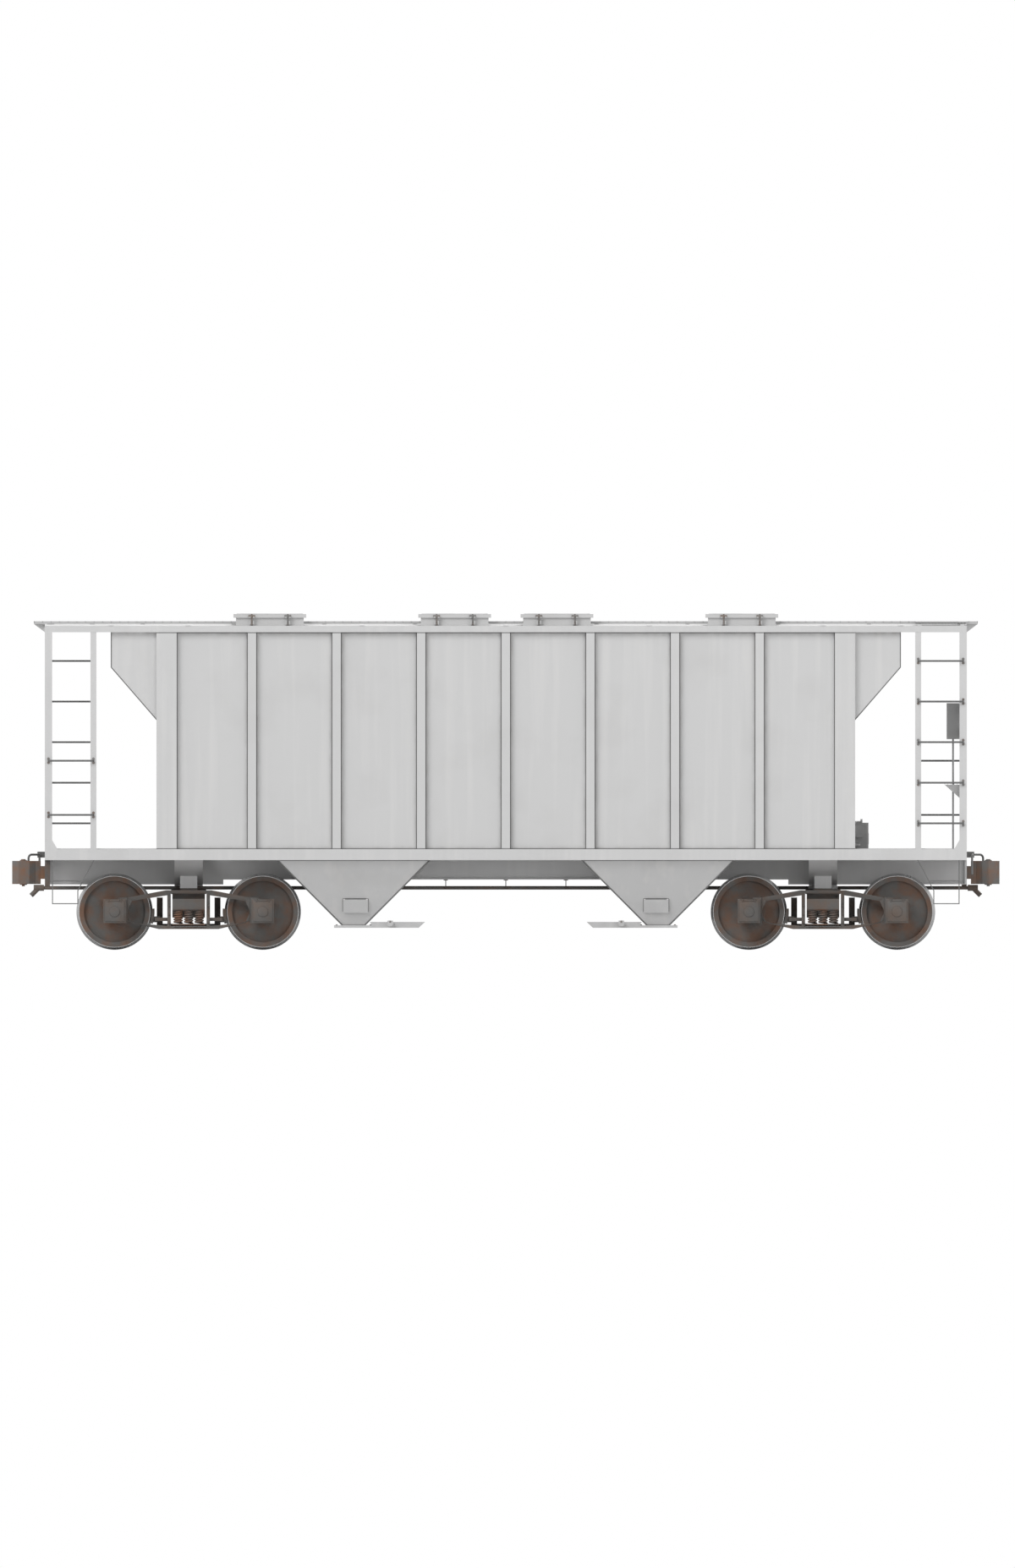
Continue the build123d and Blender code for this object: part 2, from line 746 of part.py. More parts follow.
with BuildPart() as outlet_frames:
    for end, side in for_gates:
        y0 = side * outlet_y - frame_half_y
        y1 = side * outlet_y + frame_half_y
        block(along(end, -frame_half), along(end, frame_half), y0, y1, frame_z, outlet_z)
        block(along(end, -outlet_half), along(end, outlet_half), side * outlet_inner_y, side * outlet_outer_y,
              frame_z, outlet_z, mode=Mode.SUBTRACT)
        for edge, inward in ((y0, 1), (y1, -1)):
            wall_outline = [(along(end, frame_half), frame_z), (along(end, track_foot), frame_z),
                            (along(end, track_end), track_z),
                            (along(end, outlet_half + track_depth), track_z)]
            side_shape(wall_outline, edge, edge + inward * track_wall)
            ledge_in = edge + inward * (track_wall + gate_side_gap + track_ledge)
            block(along(end, frame_half), along(end, track_foot), edge, ledge_in, frame_z, floor_z)
            block(along(end, shaft_x - shaft_bearing / 2), along(end, shaft_x + shaft_bearing / 2), edge,
                  edge + inward * track_wall, frame_z, shaft_z + shaft_bearing / 2)
        slot_x0 = along(end, -outlet_half - gate_lap - gate_side_gap)
        block(slot_x0, along(end, frame_half), side * outlet_y - gate_half - gate_side_gap,
              side * outlet_y + gate_half + gate_side_gap, floor_z, slot_z, mode=Mode.SUBTRACT)
        block(along(end, track_foot - track_wall), along(end, track_foot), y0, y1, frame_z, floor_z)
        x = along(end, shaft_x)
        rod((x, y0 - shaft_overhang, shaft_z), (x, y1 + shaft_overhang, shaft_z), shaft_diameter / 2)
        for edge, outward in ((y0, -1), (y1, 1)):
            rod((x, edge + outward * shaft_overhang, shaft_z),
                (x, edge + outward * (shaft_overhang - capstan_length), shaft_z), capstan_radius)
save(outlet_frames.part, "outlet_frames")


# Slide gates: plates with two racks, each sliding towards the middle of the car
gate_tail = outlet_half + gate_lap
gate_head = frame_half + gate_nose
for number, (end, side) in enumerate(for_gates, start=1):
    with BuildPart() as gate:
        y = side * outlet_y
        block(along(end, -gate_tail), along(end, gate_head), y - gate_half, y + gate_half, gate_z0, gate_z1)
        block(along(end, gate_head - gate_lug), along(end, gate_head), y - gate_half, y + gate_half,
              gate_z1, gate_z1 + rack_height)
    save(gate.part, f"gate_{number}")


# Centre sill: a hat section, with deeper draft sills and a striker at each end
centre_z = rail + centre_sill_above_rail
sill_in = sill_half - centre_sill_wall
draft_x = half_length - draft_sill_length
with BuildPart() as centre_sill:
    channel_half = [(sill_half, centre_z), (sill_half, sill_z1)]
    hollow_half = [(sill_in, sill_z1 - centre_sill_wall), (sill_in, centre_z)]
    end_shape(channel_half + flipped(channel_half[::-1], -1) + flipped(hollow_half[::-1], -1) + hollow_half,
              -half_length, half_length)
    for side in (1, -1):
        block(-draft_x, draft_x, side * sill_half, side * (sill_half + centre_sill_flange),
              centre_z, centre_z + centre_sill_wall)
    for end in (1, -1):
        for side in (1, -1):
            block(end * draft_x, end * half_length, side * sill_in, side * sill_half, draft_z, sill_z1)
            block(end * draft_x, end * (half_length - striker_wall), side * sill_half,
                  side * (sill_half + centre_sill_flange), draft_z, draft_z + centre_sill_wall)
        block(end * (half_length - striker_wall), end * half_length, -striker_width / 2, striker_width / 2,
              draft_z, sill_z0)
        block(end * (half_length - striker_wall - cut), end * (half_length + cut), -sill_in, sill_in,
              draft_z + carrier_height, sill_z0 - carrier_height, mode=Mode.SUBTRACT)
save(centre_sill.part, "centre_sill")


# Body bolsters: tapered box arms each side of the draft sill, with the centre plate below
bolster_half = bolster_width / 2
arm_z = draft_z
arm_tip_z = sill_z1 - bolster_tip_depth
body_bearing_z = plate_z - bowl_floor + side_bearing_height + side_bearing_gap
with BuildPart() as body_bolsters:
    for end in (1, -1):
        x0 = end * truck_x - bolster_half
        x1 = end * truck_x + bolster_half
        for side in (1, -1):
            arm = [(sill_half, arm_z), (sill_half, sill_z1), (inside, sill_z1), (inside, arm_tip_z),
                   (sill_half + bolster_half, arm_z)]
            end_shape(flipped(arm, side), x0, x1)
            hollow = [(sill_half, arm_z + bolster_wall), (sill_half, sill_z1 - bolster_wall),
                      (inside, sill_z1 - bolster_wall), (inside, arm_tip_z + bolster_wall),
                      (sill_half + bolster_half, arm_z + bolster_wall)]
            end_shape(flipped(hollow, side), x0 + bolster_wall, x1 - bolster_wall, mode=Mode.SUBTRACT)
            bearing_y = side * side_bearing_y
            arm_run = inside - sill_half - bolster_half
            bearing_rise = (side_bearing_y - sill_half - bolster_half) * (arm_tip_z - arm_z) / arm_run
            block(end * truck_x - side_bearing_length / 2, end * truck_x + side_bearing_length / 2,
                  bearing_y - side_bearing_width / 2, bearing_y + side_bearing_width / 2,
                  body_bearing_z, arm_z + bearing_rise + bolster_wall)
            block(x0 - cut, x1 + cut, side * sill_half, side * (sill_half + centre_sill_flange),
                  arm_z, arm_z + centre_sill_wall, mode=Mode.SUBTRACT)
        plate_half = sill_half + centre_sill_flange
        block(x0, x1, -plate_half, plate_half, arm_z - bolster_plate, arm_z)
        rod((end * truck_x, 0, plate_z + fit), (end * truck_x, 0, arm_z - bolster_plate),
            bowl_radius - bowl_wall - bowl_clearance)
save(body_bolsters.part, "body_bolsters")


# End sills: a channel each side of the striker
with BuildPart() as end_sills:
    for end in (1, -1):
        for side in (1, -1):
            channel = rail_outline(sill_z0, sill_z1, end, half_length - rail_depth_y, half_length, frame_wall)
            side_shape(channel, side * sill_half, side * skin)
save(end_sills.part, "end_sills")


# Couplers: shank, head, guard arm and closed knuckle, as shares of the head's length and height
head_shares = ((0.0, 0.24), (0.18, 0.30), (0.40, 0.52), (0.78, 0.60), (0.99, 0.56), (1.0, 0.46),
               (0.82, 0.30), (0.66, 0.16), (0.66, -0.10), (0.84, -0.10), (0.92, 0.02), (1.0, -0.04),
               (1.0, -0.34), (0.90, -0.52), (0.62, -0.60), (0.40, -0.52), (0.18, -0.30), (0.0, -0.24))
with BuildPart() as couplers:
    for end in (1, -1):
        gap_x = half_length - striker_wall
        block(end * (gap_x - shank_length), end * (half_length + 2 * head_start),
              -shank_width / 2, shank_width / 2, coupler_z - shank_height / 2, coupler_z + shank_height / 2)
        head_length = coupler_reach - head_start
        head_x = half_length + head_start
        outline = [(end * (head_x + length_share * head_length), end * width_share * head_height)
                   for length_share, width_share in head_shares]
        plan_shape(outline, coupler_z - head_height / 2, coupler_z + head_height / 2)
        block(end * (gap_x - shank_length / 2), end * (gap_x - cut), -sill_in, sill_in,
              draft_z, coupler_z - shank_height / 2)
save(couplers.part, "couplers")


# End platforms: floor plates over the trucks, with webs that hold up the slope sheets
def slope_under(x):
    """Height of the slope sheet's underside at a distance from the middle of the car."""
    return sill_z0 + (x - bay_outer_x - slope_shift) * slope_rise / slope_run


web_x0 = half_length - slope_web_setback - slope_web_foot
web_x1 = half_length - slope_web_setback
with BuildPart() as end_platforms:
    for end in (1, -1):
        block(end * platform_x, end * platform_end, -inside, inside, sill_z1, platform_z)
        for side in (1, -1):
            web = [(web_x0, platform_z), (web_x1, platform_z), (web_x1, slope_under(web_x1)),
                   (web_x0, slope_under(web_x0))]
            side_shape(flipped(web, end), side * slope_web_y, side * (slope_web_y + slope_web))
save(end_platforms.part, "end_platforms")


# Corner posts with foot gussets, and ladder posts
with BuildPart() as corner_posts:
    for end in (1, -1):
        for side in (1, -1):
            y1 = side * half_width
            y0 = side * (half_width - frame_wall)
            block(end * post_x, end * half_length, y0, y1, sill_z1, top_rail_z)
            block(end * (half_length - frame_wall), end * half_length,
                  side * (half_width - corner_post_width), y0, sill_z1, top_rail_z)
            gusset = [(post_x, sill_z1), (post_x - gusset_width, sill_z1), (post_x, sill_z1 + gusset_height)]
            side_shape(flipped(gusset, end), y0, y1)
            ladder_face = side * post_face
            block(end * ladder_x, end * (ladder_x + ladder_post_width), ladder_face - side * ladder_post_wall,
                  ladder_face, sill_z1, top_rail_z)
save(corner_posts.part, "corner_posts")


# End posts: channels from the end sill to the roof, and a stile for each end ladder
with BuildPart() as end_posts:
    for end in (1, -1):
        x0 = half_length - rail_depth_y
        for side in (1, -1):
            y0 = side * (end_post_y - end_post_width_y / 2)
            y1 = side * (end_post_y + end_post_width_y / 2)
            block(end * x0, end * half_length, y0, y1, sill_z1, top_rail_z)
            block(end * (x0 - cut), end * (half_length - frame_wall), y0 + side * frame_wall,
                  y1 - side * frame_wall, sill_z1 - cut, top_rail_z + cut, mode=Mode.SUBTRACT)
            stile_y = side * end_stile_y
            block(end * (half_length - ladder_post_width), end * half_length, stile_y - ladder_post_wall / 2,
                  stile_y + ladder_post_wall / 2, sill_z1, top_rail_z)
save(end_posts.part, "end_posts")


# Ladders: rungs on the side and round the corner on the end
rung_radius = rung_diameter / 2
rung_z = [rail + rung_top_above_rail - i * rung_pitch for i in range(rung_count)]
grab_z = [rail + grab_above_rail_low, rail + grab_above_rail_high]
rung_x0 = ladder_x + ladder_post_width / 2
rung_x1 = half_length - corner_post_width / 2


def side_rung(end, side, z):
    """A bar with a bent foot at each end, on the posts' outer faces."""
    y_bar = side * (half_width + rung_standoff - rung_radius)
    bent_rod([(end * rung_x0, side * post_face, z), (end * rung_x0, y_bar, z), (end * rung_x1, y_bar, z),
              (end * rung_x1, side * half_width, z)], rung_radius, rung_bend)


def end_rung(end, side, z):
    """A straight bar between the corner post and the end stile."""
    x = end * (half_length - corner_post_width / 2)
    y_stile = side * (end_stile_y + ladder_post_wall / 2)
    rod((x, y_stile, z), (x, side * (half_width - frame_wall), z), rung_radius)


with BuildPart() as ladders:
    for end in (1, -1):
        for z in rung_z:
            side_rung(end, -end, z)
            end_rung(end, -end, z)
save(ladders.part, "ladders")

with BuildPart() as grab_irons:
    for end in (1, -1):
        for z in grab_z:
            side_rung(end, end, z)
            end_rung(end, end, z)
save(grab_irons.part, "grab_irons")


# Sill steps: bent straps under the corners, with a middle tread
with BuildPart() as sill_steps:
    for end in (1, -1):
        for side in (1, -1):
            x_out = half_length - step_setback - step_wall / 2
            x_in = x_out - step_tread
            x_top = x_in - step_diagonal
            z_tread = sill_z0 - step_depth
            z_bend = sill_z0 - step_inner_depth
            y_out = half_width - step_edge
            mid_z = sill_z0 - step_mid_depth
            mid_x = x_in - (step_inner_depth - step_mid_depth) * step_diagonal / step_inner_depth
            route = [(x_out, sill_z0), (x_out, z_tread), (x_in, z_tread), (x_in, z_bend),
                     (x_top, sill_z0 + step_wall)]
            with BuildSketch(Plane.XZ.offset(-max(side * y_out, side * (y_out - step_width)))):
                with BuildLine():
                    Polyline(*flipped(route, end))
                trace(line_width=step_wall)
                with BuildLine():
                    Line((end * x_out, mid_z), (end * mid_x, mid_z))
                trace(line_width=step_wall)
            extrude(amount=step_width)
            block(end * (x_top - step_width), end * (x_out + step_width), side * (y_out + cut),
                  side * (y_out - step_width - cut), sill_z0, sill_z0 + step_depth, mode=Mode.SUBTRACT)
save(sill_steps.part, "sill_steps")


# Train line: the air pipe from end to end, with angle cocks and hangers
pipe_radius = pipe_diameter / 2
pipe_z = rail + pipe_above_rail
pipe_x_end = half_length + pipe_overhang
pipe_x_turn = truck_x - bolster_half - pipe_setback
pipe_x_mid = pipe_x_turn - pipe_shift
with BuildPart() as train_line:
    bent_rod([(pipe_x_end, pipe_end_y, pipe_z), (pipe_x_turn, pipe_end_y, pipe_z),
              (pipe_x_mid, pipe_mid_y, pipe_z), (-pipe_x_mid, -pipe_mid_y, pipe_z),
              (-pipe_x_turn, -pipe_end_y, pipe_z), (-pipe_x_end, -pipe_end_y, pipe_z)],
             pipe_radius, pipe_bend)
    for i in range(hanger_count):
        x = hanger_pitch * (i - (hanger_count - 1) / 2)
        y = pipe_mid_y * x / pipe_x_mid
        block(x - hanger_length / 2, x + hanger_length / 2, -sill_half, sill_half,
              centre_z - hanger_wall, centre_z)
        block(x - hanger_wall / 2, x + hanger_wall / 2, y - pipe_diameter, y + pipe_diameter,
              pipe_z - pipe_radius, centre_z)
    for end in (1, -1):
        y = end * pipe_end_y
        x = end * half_length
        block(x - end * pipe_bracket_width, x, y - pipe_bracket / 2, y + pipe_bracket / 2, pipe_z, sill_z0)
        rod((x + end * (pipe_overhang - cock_length / 2), y, pipe_z),
            (x + end * (pipe_overhang + cock_length / 2), y, pipe_z), cock_radius)
        rod((x + end * pipe_overhang, y, pipe_z),
            (x + end * (pipe_overhang + cock_outlet_length), y, pipe_z - cock_outlet_length), cock_outlet)
save(train_line.part, "train_line")


# Uncoupling levers: a bent rod across each end, from a side handle to the coupler head
lever_radius = lever_rod / 2
lever_z = rail + lever_above_rail
lever_handle_y = half_width - lever_handle_setback
lever_bracket_y_out = half_width - lever_bracket_setback
head_z = coupler_z + head_height / 2
with BuildPart() as uncoupling_levers:
    for end in (1, -1):
        side = -end
        x = end * (half_length + lever_standoff)
        eye_x = end * (half_length + lever_eye_reach)
        bent_rod([(x, side * lever_handle_y, lever_z - lever_handle_drop),
                  (x, side * lever_handle_y, lever_z),
                  (x, side * shank_width, lever_z), (eye_x, side * shank_width / 4, lever_z),
                  (eye_x, side * shank_width / 4, head_z)], lever_radius, lever_bend)
        for y in (lever_bracket_y_in, lever_bracket_y_out):
            block(end * half_length, x + end * lever_rod, side * y - lever_bracket / 2,
                  side * y + lever_bracket / 2, lever_z - lever_bracket_height / 2,
                  lever_z + lever_bracket_height / 2)
save(uncoupling_levers.part, "uncoupling_levers")


# Hand brake: wheel, gear box on a bar between the end posts, rod, and a step
wheel_plane_x = half_length - handwheel_setback
wheel_z = rail + handwheel_above_rail
bar_x0 = half_length - rail_depth_y
box_x0 = bar_x0 - brake_box_depth
with BuildPart() as hand_brake_wheel:
    with BuildSketch(Plane.XZ.offset(handwheel_y)):
        with Locations((wheel_plane_x, wheel_z + handwheel_radius - handwheel_rim)):
            Circle(handwheel_rim)
    revolve(axis=Axis((0, -handwheel_y, wheel_z), (1, 0, 0)))
    hub_x = wheel_plane_x - handwheel_dish
    hub_in = (hub_x - handwheel_rim, -handwheel_y, wheel_z)
    hub_out = (hub_x + handwheel_rim, -handwheel_y, wheel_z)
    rod(hub_in, hub_out, handwheel_hub)
    for i in range(handwheel_spokes):
        spoke = Vector(0, 1, 0).rotate(Axis.X, full_turn * i / handwheel_spokes)
        tip = spoke * (handwheel_radius - handwheel_rim)
        foot = spoke * (handwheel_hub / 2)
        rod((hub_x, -handwheel_y + foot.Y, wheel_z + foot.Z),
            (wheel_plane_x, -handwheel_y + tip.Y, wheel_z + tip.Z), handwheel_spoke)
save(hand_brake_wheel.part, "hand_brake_wheel")

bar_half = end_post_y - end_post_width_y / 2
with BuildPart() as hand_brake_gear:
    bar_x1 = bar_x0 + frame_wall
    for z in (wheel_z - brake_bar_spread / 2, wheel_z + brake_bar_spread / 2):
        block(bar_x0, bar_x1, -bar_half, bar_half, z - brake_beam_bar / 2, z + brake_beam_bar / 2)
    block(box_x0, bar_x0, -handwheel_y - brake_box_width / 2, -handwheel_y + brake_box_width / 2,
          wheel_z - brake_box_height / 2, wheel_z + brake_box_height / 2)
    fillet(hand_brake_gear.edges().filter_by(Axis.X).group_by(SortBy.LENGTH)[-1], frame_wall)
    rod((bar_x0, -handwheel_y, wheel_z), (hub_x - handwheel_rim, -handwheel_y, wheel_z), brake_shaft)
    rod_x = box_x0 + brake_box_depth / 2
    rod((rod_x, -handwheel_y, platform_z), (rod_x, -handwheel_y, wheel_z - brake_box_height / 2),
        brake_rod / 2)
save(hand_brake_gear.part, "hand_brake_gear")

step_z = rail + brake_step_above_rail
with BuildPart() as brake_step:
    block(half_length - brake_step_depth, half_length, -bar_half, bar_half, step_z - brake_step_wall, step_z)
    for side in (1, -1):
        brace = [(half_length, step_z - brake_step_wall),
                 (half_length - brake_step_depth, step_z - brake_step_wall),
                 (half_length, step_z - brake_step_depth)]
        side_shape(brace, side * bar_half, side * (bar_half - brake_step_brace))
    block(rod_x - brake_rod, rod_x + brake_rod, -handwheel_y - brake_rod, -handwheel_y + brake_rod,
          step_z - brake_step_depth, step_z + cut, mode=Mode.SUBTRACT)
save(brake_step.part, "brake_step")


# Brake cylinder, air reservoir and control valve on the platform at the hand brake end
gear_x = truck_x
tank_z = platform_z + gear_standing + reservoir_radius
tank_x = gear_x + reservoir_offset
reservoir_y = half_width - reservoir_setback
with BuildPart() as air_reservoir:
    y0 = -reservoir_y - reservoir_length / 2
    y1 = -reservoir_y + reservoir_length / 2
    rod((tank_x, y0, tank_z), (tank_x, y1, tank_z), reservoir_radius)
    fillet(air_reservoir.edges().filter_by(GeomType.CIRCLE), reservoir_dome)
    for turn in (-1, 1):
        y = -reservoir_y + turn * reservoir_length / 4
        rod((tank_x, y - reservoir_band, tank_z), (tank_x, y + reservoir_band, tank_z),
            reservoir_radius + frame_wall)
        block(tank_x - saddle_length / 2, tank_x + saddle_length / 2, y - saddle_block / 2,
              y + saddle_block / 2, platform_z, tank_z - reservoir_radius / 2)
save(air_reservoir.part, "air_reservoir")

can_z = platform_z + gear_standing + cylinder_radius
cylinder_y = half_width - cylinder_setback
can_x0 = gear_x + cylinder_offset
can_x1 = can_x0 + cylinder_length
with BuildPart() as brake_cylinder:
    rod((can_x0, cylinder_y, can_z), (can_x1, cylinder_y, can_z), cylinder_radius)
    for x in (can_x0, can_x1 - cylinder_flange):
        rod((x, cylinder_y, can_z), (x + cylinder_flange, cylinder_y, can_z),
            cylinder_radius + cylinder_flange)
    rod((can_x0 - cylinder_rod_length, cylinder_y, can_z), (can_x0, cylinder_y, can_z), cylinder_rod)
    for x in (can_x0 + saddle_block, can_x1 - saddle_block):
        block(x - saddle_block / 2, x + saddle_block / 2, cylinder_y - saddle_length / 2,
              cylinder_y + saddle_length / 2, platform_z, can_z - cylinder_radius / 2)
    lever_x = can_x0 - cylinder_rod_length
    block(lever_x - cylinder_lever_width / 2, lever_x + cylinder_lever_width / 2,
          cylinder_y - cylinder_lever_length / 4, cylinder_y + cylinder_lever_length * 3 / 4,
          can_z - lever_thickness / 2, can_z + lever_thickness / 2)
    block(lever_x - cylinder_lever_width / 2, lever_x + cylinder_lever_width / 2,
          cylinder_y + cylinder_lever_length * 3 / 4 - cylinder_lever_width,
          cylinder_y + cylinder_lever_length * 3 / 4, platform_z, can_z)
save(brake_cylinder.part, "brake_cylinder")

valve_x = gear_x + valve_offset
with BuildPart() as control_valve:
    block(valve_x - valve_size / 2, valve_x + valve_size / 2, -valve_size / 4, valve_size / 4,
          platform_z, platform_z + valve_height)
    fillet(control_valve.edges().filter_by(Axis.Z), cut)
    for turn in (-1, 1):
        rod((valve_x, turn * valve_size / 4, platform_z + valve_height * 2 / 3),
            (valve_x, turn * valve_size * 3 / 4, platform_z + valve_height * 2 / 3), valve_size / 3)
save(control_valve.part, "control_valve")


# Wheelsets: an axle with two one-wear wheels
def wheel_points():
    """Half section of the wheel, as (radius, y) with y outward from the middle of the track."""
    tread = tread_diameter / 2
    y_back = wheel_back_y
    y_face = y_back + wheel_rim_width
    rim = tread - wheel_rim_depth
    plate_y = y_back + wheel_rim_width / 2
    hub_back = y_back - wheel_hub_overhang
    hub_face = y_face + wheel_hub_overhang
    hub_plate = plate_y + wheel_plate_dish
    flange_shoulder = tread + flange_depth - wheel_flange_width / 4
    return [(axle_seat_radius, hub_back), (wheel_hub_radius, hub_back),
            (wheel_hub_radius, hub_plate - wheel_plate / 2), (rim, plate_y - wheel_plate / 2), (rim, y_back),
            (flange_shoulder, y_back), (tread + flange_depth, y_back + wheel_flange_width / 3),
            (flange_shoulder, y_back + wheel_flange_width * 2 / 3),
            (tread + wheel_tread_fall / 2, y_back + wheel_flange_width),
            (tread - wheel_tread_fall / 2, y_face),
            (rim, y_face), (rim, plate_y + wheel_plate / 2), (wheel_hub_radius, hub_plate + wheel_plate / 2),
            (wheel_hub_radius, hub_face), (axle_seat_radius, hub_face)]


guard_y = journal_y - journal_length / 2
journal_end = journal_y + journal_length / 2
axle_points = [(axle_seat_radius, wheel_back_y - wheel_hub_overhang * 2),
               (axle_seat_radius, wheel_back_y + wheel_rim_width + wheel_hub_overhang),
               (axle_guard_radius, wheel_back_y + wheel_rim_width + wheel_hub_overhang),
               (axle_guard_radius, guard_y), (journal_radius, guard_y), (journal_radius, journal_end),
               (journal_radius + journal_collar, journal_end),
               (journal_radius + journal_collar, journal_end + journal_collar),
               (0, journal_end + journal_collar)]


def wheelset(x, label):
    with BuildPart() as wheels:
        centre = Plane(origin=(x, 0, axle_z), x_dir=(1, 0, 0), z_dir=(0, 0, 1))
        with BuildSketch(centre):
            with BuildLine():
                half_axle = [(axle_body_radius, wheel_back_y - wheel_hub_overhang * 4)] + axle_points
                mirrored = [(r, -y) for r, y in reversed(half_axle)]
                Polyline(*(mirrored + half_axle), close=True)
            make_face()
        revolve(axis=Axis((x, 0, axle_z), (0, 1, 0)))
        for side in (1, -1):
            with BuildSketch(centre):
                with BuildLine():
                    Polyline(*[(r, side * y) for r, y in wheel_points()], close=True)
                make_face()
            revolve(axis=Axis((x, 0, axle_z), (0, 1, 0)))
    save(wheels.part, label)


# Truck side frames: cast frames with journal boxes at both ends
def side_frames(x, label):
    frame_top = rail + frame_top_above_rail
    frame_bottom = rail + frame_bottom_above_rail
    window_z0 = rail + window_floor_above_rail
    window_z1 = rail + window_head_above_rail
    box_z0 = axle_z - box_below_axle
    box_z1 = axle_z + box_above_axle
    box_in = wheel_x - box_half_length
    box_out = wheel_x + box_half_length
    shoulder_x = window_half + column_width
    outline = [(shoulder_x, frame_top), (box_in, box_z1 + frame_chord / 2), (box_in + frame_chord, box_z1),
               (box_in + frame_chord, box_z0), (box_in, box_z0), (shoulder_x + frame_chord, frame_bottom)]
    opening = [(shoulder_x, window_z1 - frame_chord / 4), (box_in - frame_chord, box_z1 - frame_chord / 2),
               (box_in - frame_chord / 2, axle_z), (box_in - frame_chord, box_z0 + frame_chord / 4),
               (shoulder_x, frame_bottom + frame_chord)]
    with BuildPart() as frames:
        for side in (1, -1):
            y_in = side * (journal_y - frame_width / 2)
            y_out = side * (journal_y + frame_width / 2)
            full = [(x + px, pz) for px, pz in outline] + [(x - px, pz) for px, pz in reversed(outline)]
            side_shape(full, y_in, y_out)
            for end in (1, -1):
                block(x + end * box_in, x + end * box_out, side * (journal_y - box_inner),
                      side * (journal_y + box_outer), box_z0, box_z1)
        for side in (1, -1):
            y_in = side * (journal_y - frame_width / 2 - cut)
            y_out = side * (journal_y + frame_width / 2 + cut)
            block(x - window_half, x + window_half, y_in, y_out, window_z0, window_z1, mode=Mode.SUBTRACT)
            for end in (1, -1):
                side_shape([(x + end * px, pz) for px, pz in opening], y_in, y_out, mode=Mode.SUBTRACT)
                cavity_in = side * (journal_y - box_inner - cut)
                cavity_out = side * (journal_y + box_outer - box_wall)
                block(x + end * (box_in + box_wall), x + end * (box_out - box_wall), cavity_in, cavity_out,
                      box_z0 + box_wall, box_z1 - box_wall, mode=Mode.SUBTRACT)
        for side in (1, -1):
            for end in (1, -1):
                mid = x + end * wheel_x
                bearing_y0 = side * (journal_y - box_inner + box_wall)
                bearing_y1 = side * (journal_y + box_inner - box_wall)
                block(mid - bearing_half, mid + bearing_half, bearing_y0, bearing_y1,
                      axle_z + journal_radius / 2, box_z1 - box_wall)
                rod((mid, side * (journal_y - box_inner), axle_z),
                    (mid, side * (journal_y + box_inner), axle_z), journal_radius + fit, mode=Mode.SUBTRACT)
                lid_face = side * (journal_y + box_outer)
                block(mid - box_half_length + box_lid_lip, mid + box_half_length - box_lid_lip, lid_face,
                      lid_face + side * box_lid, box_z0 + box_lid_lip, box_z1 - box_lid_lip)
    save(frames.part, label)


# Truck bolsters: a cast beam across the truck, with the centre bowl and side bearings on top
def truck_bolster(x, label):
    top = plate_z - bowl_floor
    end_z0 = rail + truck_bolster_end_above_rail
    end_z1 = end_z0 + truck_bolster_end_depth
    belly = rail + truck_bolster_belly_above_rail
    half_x = window_half - fit
    outline = [(truck_bolster_shoulder, top), (truck_bolster_shoulder + frame_width, end_z1),
               (truck_bolster_end, end_z1), (truck_bolster_end, end_z0), (truck_bolster_shoulder, end_z0),
               (truck_bolster_belly, belly)]
    pocket = [(truck_bolster_shoulder, top - truck_bolster_flange),
              (truck_bolster_shoulder, end_z0 + truck_bolster_flange),
              (truck_bolster_belly, belly + truck_bolster_flange)]
    with BuildPart() as bolster:
        end_shape(both_halves(outline), x - half_x, x + half_x)
        for end in (1, -1):
            end_shape(both_halves(pocket), x + end * truck_bolster_web / 2, x + end * (half_x + cut),
                      mode=Mode.SUBTRACT)
        rod((x, 0, top), (x, 0, plate_z + bowl_rim), bowl_radius)
        rod((x, 0, plate_z), (x, 0, plate_z + bowl_rim), bowl_radius - bowl_wall, mode=Mode.SUBTRACT)
        for side in (1, -1):
            y = side * side_bearing_y
            block(x - side_bearing_length / 2, x + side_bearing_length / 2, y - side_bearing_width / 2,
                  y + side_bearing_width / 2, top, top + side_bearing_height)
    save(bolster.part, label)


# Spring groups: coils between the side frame and the bolster's end
def spring_groups(x, label):
    z0 = rail + window_floor_above_rail
    z1 = rail + truck_bolster_end_above_rail
    with BuildPart() as springs:
        for side in (1, -1):
            y = side * journal_y
            for z in (z0, z1 - spring_seat):
                block(x - window_half + fit, x + window_half - fit, y - frame_width / 2, y + frame_width / 2,
                      z, z + spring_seat)
            for i in (-1, 0, 1):
                rod((x + i * spring_pitch_x, y, z0), (x + i * spring_pitch_x, y, z1), spring_radius)
    save(springs.part, label)


